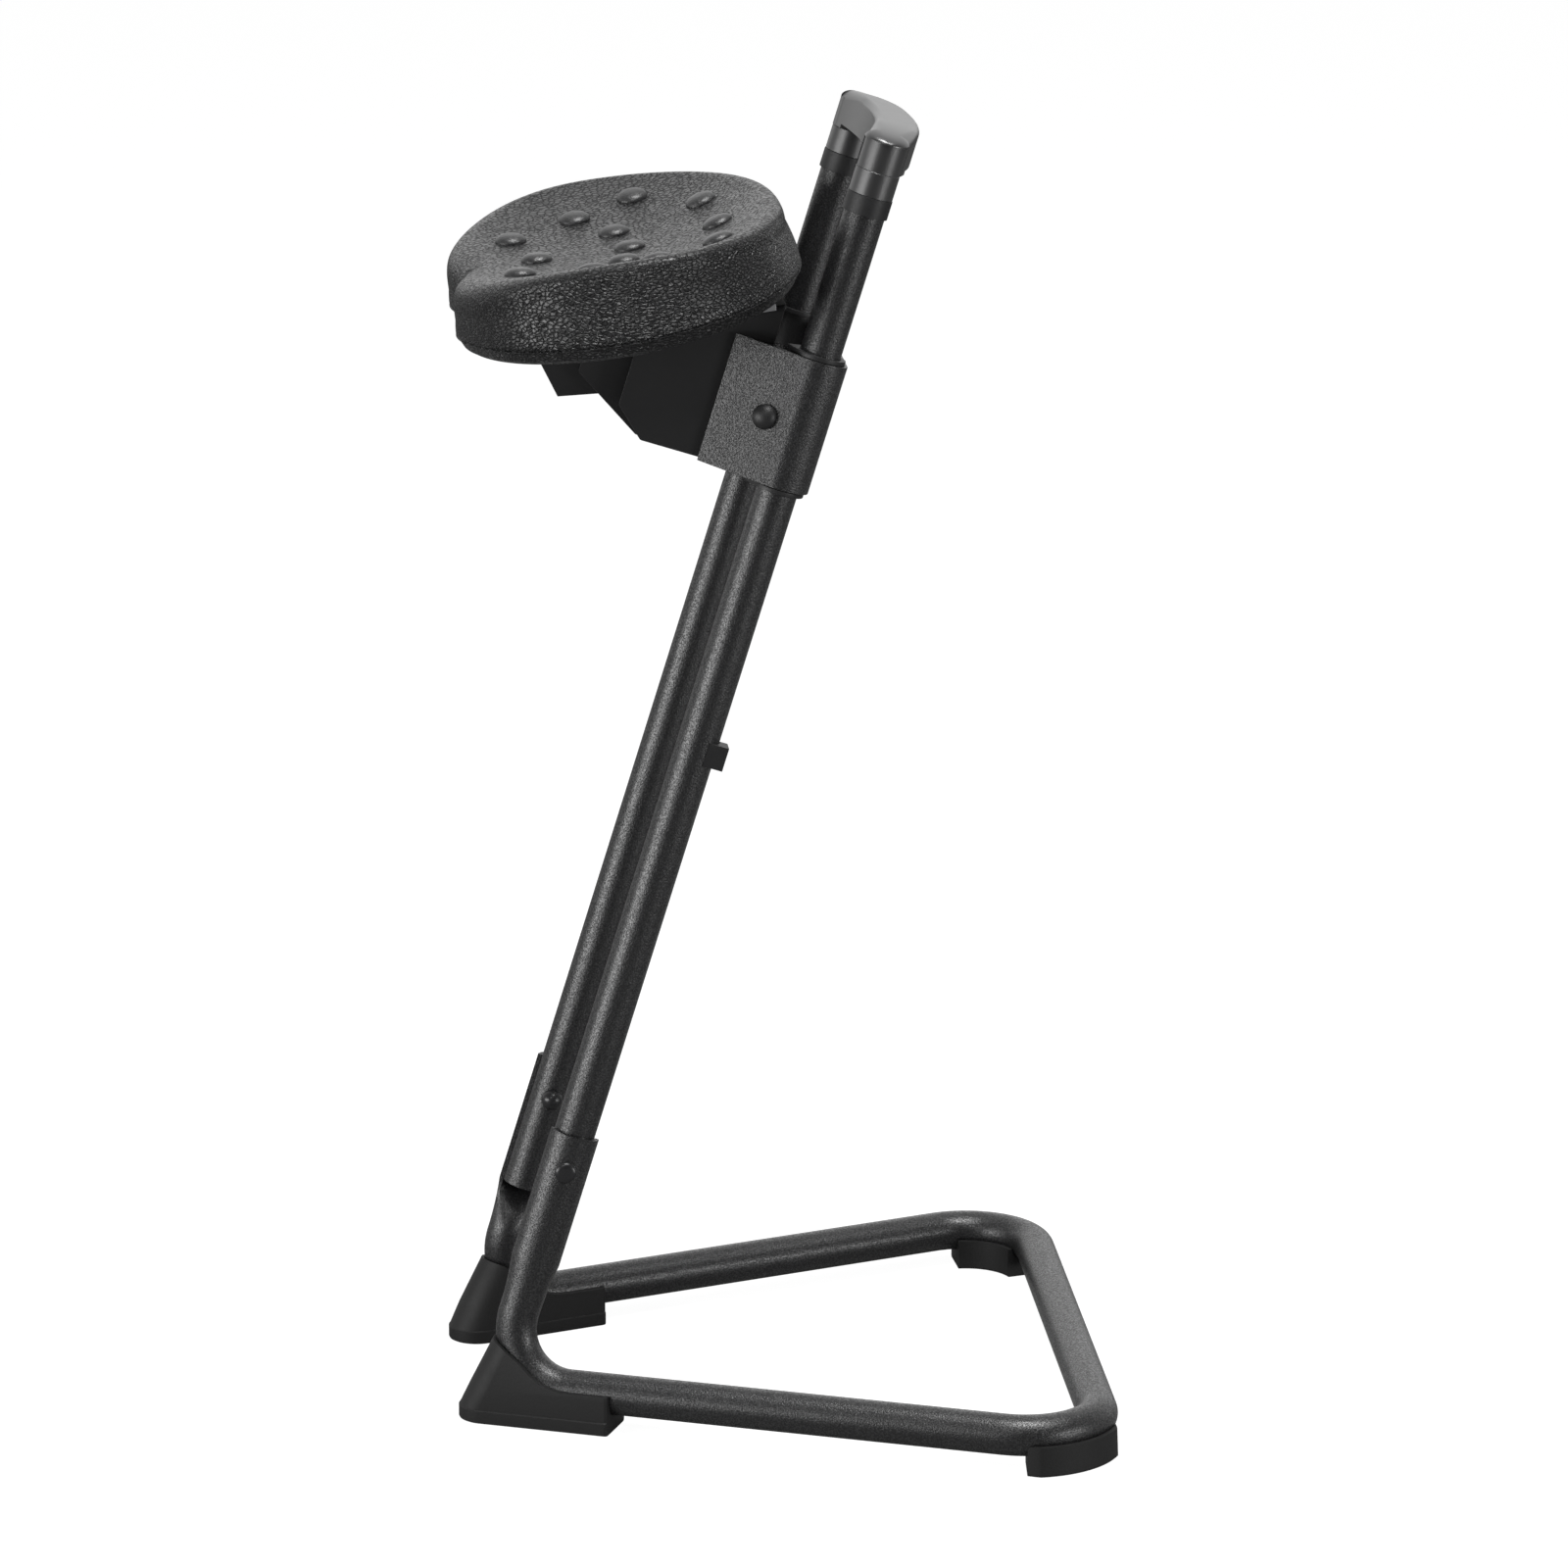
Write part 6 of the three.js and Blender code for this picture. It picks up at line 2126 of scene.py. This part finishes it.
    def build_bumps(self, studs: StudTree) -> None:
        """Sets the round smooth bumps on the pad's top.

        Args:
            studs: The tree that sets them.
        """
        places = np.array([(s * x, y) for x, y in self.bump_places for s in (1, -1) if x or s > 0])
        x, y = places.T
        step = 0.001
        slope_x = (self.height(x + step, y) - self.height(x - step, y)) / (2 * step)
        slope_y = (self.height(x, y + step) - self.height(x, y - step)) / (2 * step)
        normals = np.column_stack([-slope_x, -slope_y, np.ones_like(x)])
        normals /= np.linalg.norm(normals, axis=1)[:, None]
        points = Shape(np.column_stack([places, self.height(x, y)]), []).moved(self.place).points
        upright = normals @ np.array(self.place.to_3x3()).T
        radius, rim = self.bump_radius, self.bump_rim
        profile = [(0, -self.bump_sunk), (radius, -self.bump_sunk), (radius, rim)]
        profile += dome(radius, rim, self.bump_height - rim, self.bump_steps, self.bump_power)
        stud = lathe(profile, self.bump_sides).make("bump")
        store(stud.data, SMOOTH_ATTRIBUTE, np.ones(len(stud.data.vertices)))
        bumps = point_mesh("pad_bumps", points, {"upright": upright}, linked=False)
        studs.run(bumps, {"Stud": stud, "Material": PAINT.material(Slot.PAD_SKIN)})
        bpy.data.objects.remove(stud)
        smooth(bumps, self.bump_degrees)
        hand_over(bumps, Body.SEAT, Slot.PAD_SKIN)


@dataclass
class Lamp:
    """A soft rectangular lamp that looks at the stool."""

    name: str
    place: tuple[float, float, float]
    size: tuple[float, float]
    power: float

    def build(self, target: Vector) -> None:
        """Builds the lamp.

        Args:
            target: The point that it looks at.
        """
        light = bpy.data.lights.new(self.name, "AREA")
        light.shape = "RECTANGLE"
        light.size, light.size_y = self.size
        light.energy = self.power
        lamp = add_object(self.name, light)
        lamp.location = self.place
        lamp.rotation_euler = (target - lamp.location).to_track_quat("-Z", "Y").to_euler()


@dataclass
class Studio:
    """A pale floor, soft lamps, a surround that is white behind the stool, and the camera."""

    floor_radius: float = 60.0
    floor_drop: float = 0.0002  # below the shoes' soles
    floor_colour: float = 0.22
    floor_glow: float = 0.96
    ambient: float = 0.12
    dark_side: float = 0.04  # what mirrors show of the surround on the sitter's left
    bright_side: float = 1.0  # and on the right
    side_power: float = 1.5  # how late the surround turns bright between the two
    floor_mirrored: float = 0.05
    target: Vector = field(default_factory=lambda: Vector((0, 0, 0.5)))
    lamps: tuple[Lamp, ...] = (
        Lamp("key_front", (1.3, -2.8, 0.62), (2.4, 1.0), 62.0),
        Lamp("overhead", (0.7, 0.3, 3.2), (1.3, 1.3), 90.0),
        Lamp("camera_side", (3.4, -1.2, 2.9), (0.7, 0.7), 14.0),
        Lamp("rear", (2.1, 2.6, 0.5), (1.4, 1.0), 34.0),
    )
    camera_place: tuple[float, float, float] = (4.9308, -0.1979, 1.6586)  # from the uprights' foot line
    heading: float = 0.08308
    pitch: float = 0.24517
    lens: float = 170.63
    sensor: float = 36.0
    view_reach: float = 200.0

    def build(self, mast: Mast) -> None:
        """Builds the studio.

        Args:
            mast: The uprights, which the camera's place is measured from.
        """
        scene = bpy.context.scene
        scene.view_settings.view_transform = "Standard"
        self.build_floor()
        self.build_world()
        for lamp in self.lamps:
            lamp.build(self.target)
        data = bpy.data.cameras.new("camera")
        data.lens = self.lens
        data.sensor_width = self.sensor
        data.sensor_fit = "HORIZONTAL"
        data.clip_end = self.view_reach
        camera = add_object("camera", data)
        camera.location = Vector(self.camera_place) + Vector((0, mast.foot_y, 0))
        forward = Vector((
            -math.cos(self.heading) * math.cos(self.pitch),
            math.sin(self.heading) * math.cos(self.pitch),
            -math.sin(self.pitch),
        ))
        camera.rotation_euler = forward.to_track_quat("-Z", "Y").to_euler()
        scene.camera = camera

    def build_floor(self) -> None:
        """Builds the floor, which looks white and keeps the stool's shadow."""
        disc = lathe([(0, 0), (self.floor_radius, 0)]).make("floor")
        disc.data.transform(Matrix.Translation((0, 0, -self.floor_drop)))
        if disc.data.polygons[0].normal.z < 0:
            disc.data.flip_normals()
        material = bpy.data.materials.new("pale_floor")
        material.use_nodes = True
        graph = Graph(material.node_tree)
        path = graph.node("ShaderNodeLightPath")
        seen = path["Is Camera Ray"].apply("MAXIMUM", path["Is Transmission Ray"])
        glow = seen * self.floor_glow + path["Is Glossy Ray"] * self.floor_mirrored
        grey = (self.floor_colour,) * 3 + (1,)
        diffuse = graph.node("ShaderNodeBsdfDiffuse", sockets={"Color": grey})["BSDF"]
        light = graph.node("ShaderNodeEmission", sockets={"Strength": glow})["Emission"]
        both = graph.node("ShaderNodeAddShader", sockets={0: diffuse, 1: light})["Shader"]
        graph.node("ShaderNodeOutputMaterial", sockets={"Surface": both})
        disc.data.materials.append(material)

    def build_world(self) -> None:
        """Builds the surround: white where it is seen, dimmer as a light, dark in mirrors on one side."""
        world = bpy.data.worlds.new("surround")
        world.use_nodes = True
        bpy.context.scene.world = world
        graph = Graph(world.node_tree)
        path = graph.node("ShaderNodeLightPath")
        direction = graph.node("ShaderNodeTexCoord")["Generated"]
        across = graph.node("ShaderNodeSeparateXYZ", sockets={"Vector": direction})["X"]
        away = (0.5 - across * 0.5) ** self.side_power
        mirrored = away * (self.bright_side - self.dark_side) + self.dark_side
        glossy = path["Is Glossy Ray"]
        lit = mirrored * glossy + (1 - glossy) * self.ambient
        seen = path["Is Camera Ray"].apply("MAXIMUM", path["Is Transmission Ray"])
        strength = lit * (1 - seen) + seen
        white = graph.node(
            "ShaderNodeBackground", sockets={"Color": (1, 1, 1, 1), "Strength": strength}
        )["Background"]
        graph.node("ShaderNodeOutputWorld", sockets={"Surface": white})


def main() -> None:
    """Builds the stool's pieces and the studio in order."""
    logging.basicConfig(level=logging.INFO, format="%(name)s %(message)s")
    mast = Mast.from_frame()
    tubes = TubeTree()
    studs = StudTree()
    Studio().build(mast)
    BaseFrame(mast).build(tubes)
    Handle(mast).build()
    Carriage(mast).build()
    pad_turn = mast.lean + PAD_TILT
    pad_behind = SeatPad.rear * math.cos(pad_turn)
    pad_forward = mast.tube_radius + PAD_GAP + pad_behind - mast.pivot_reach
    mount = SeatMount(mast, pad_forward, pad_turn)
    mount.build(studs)
    SeatPad(mount.pad_place()).build(studs)


if __name__ == "__main__":
    main()
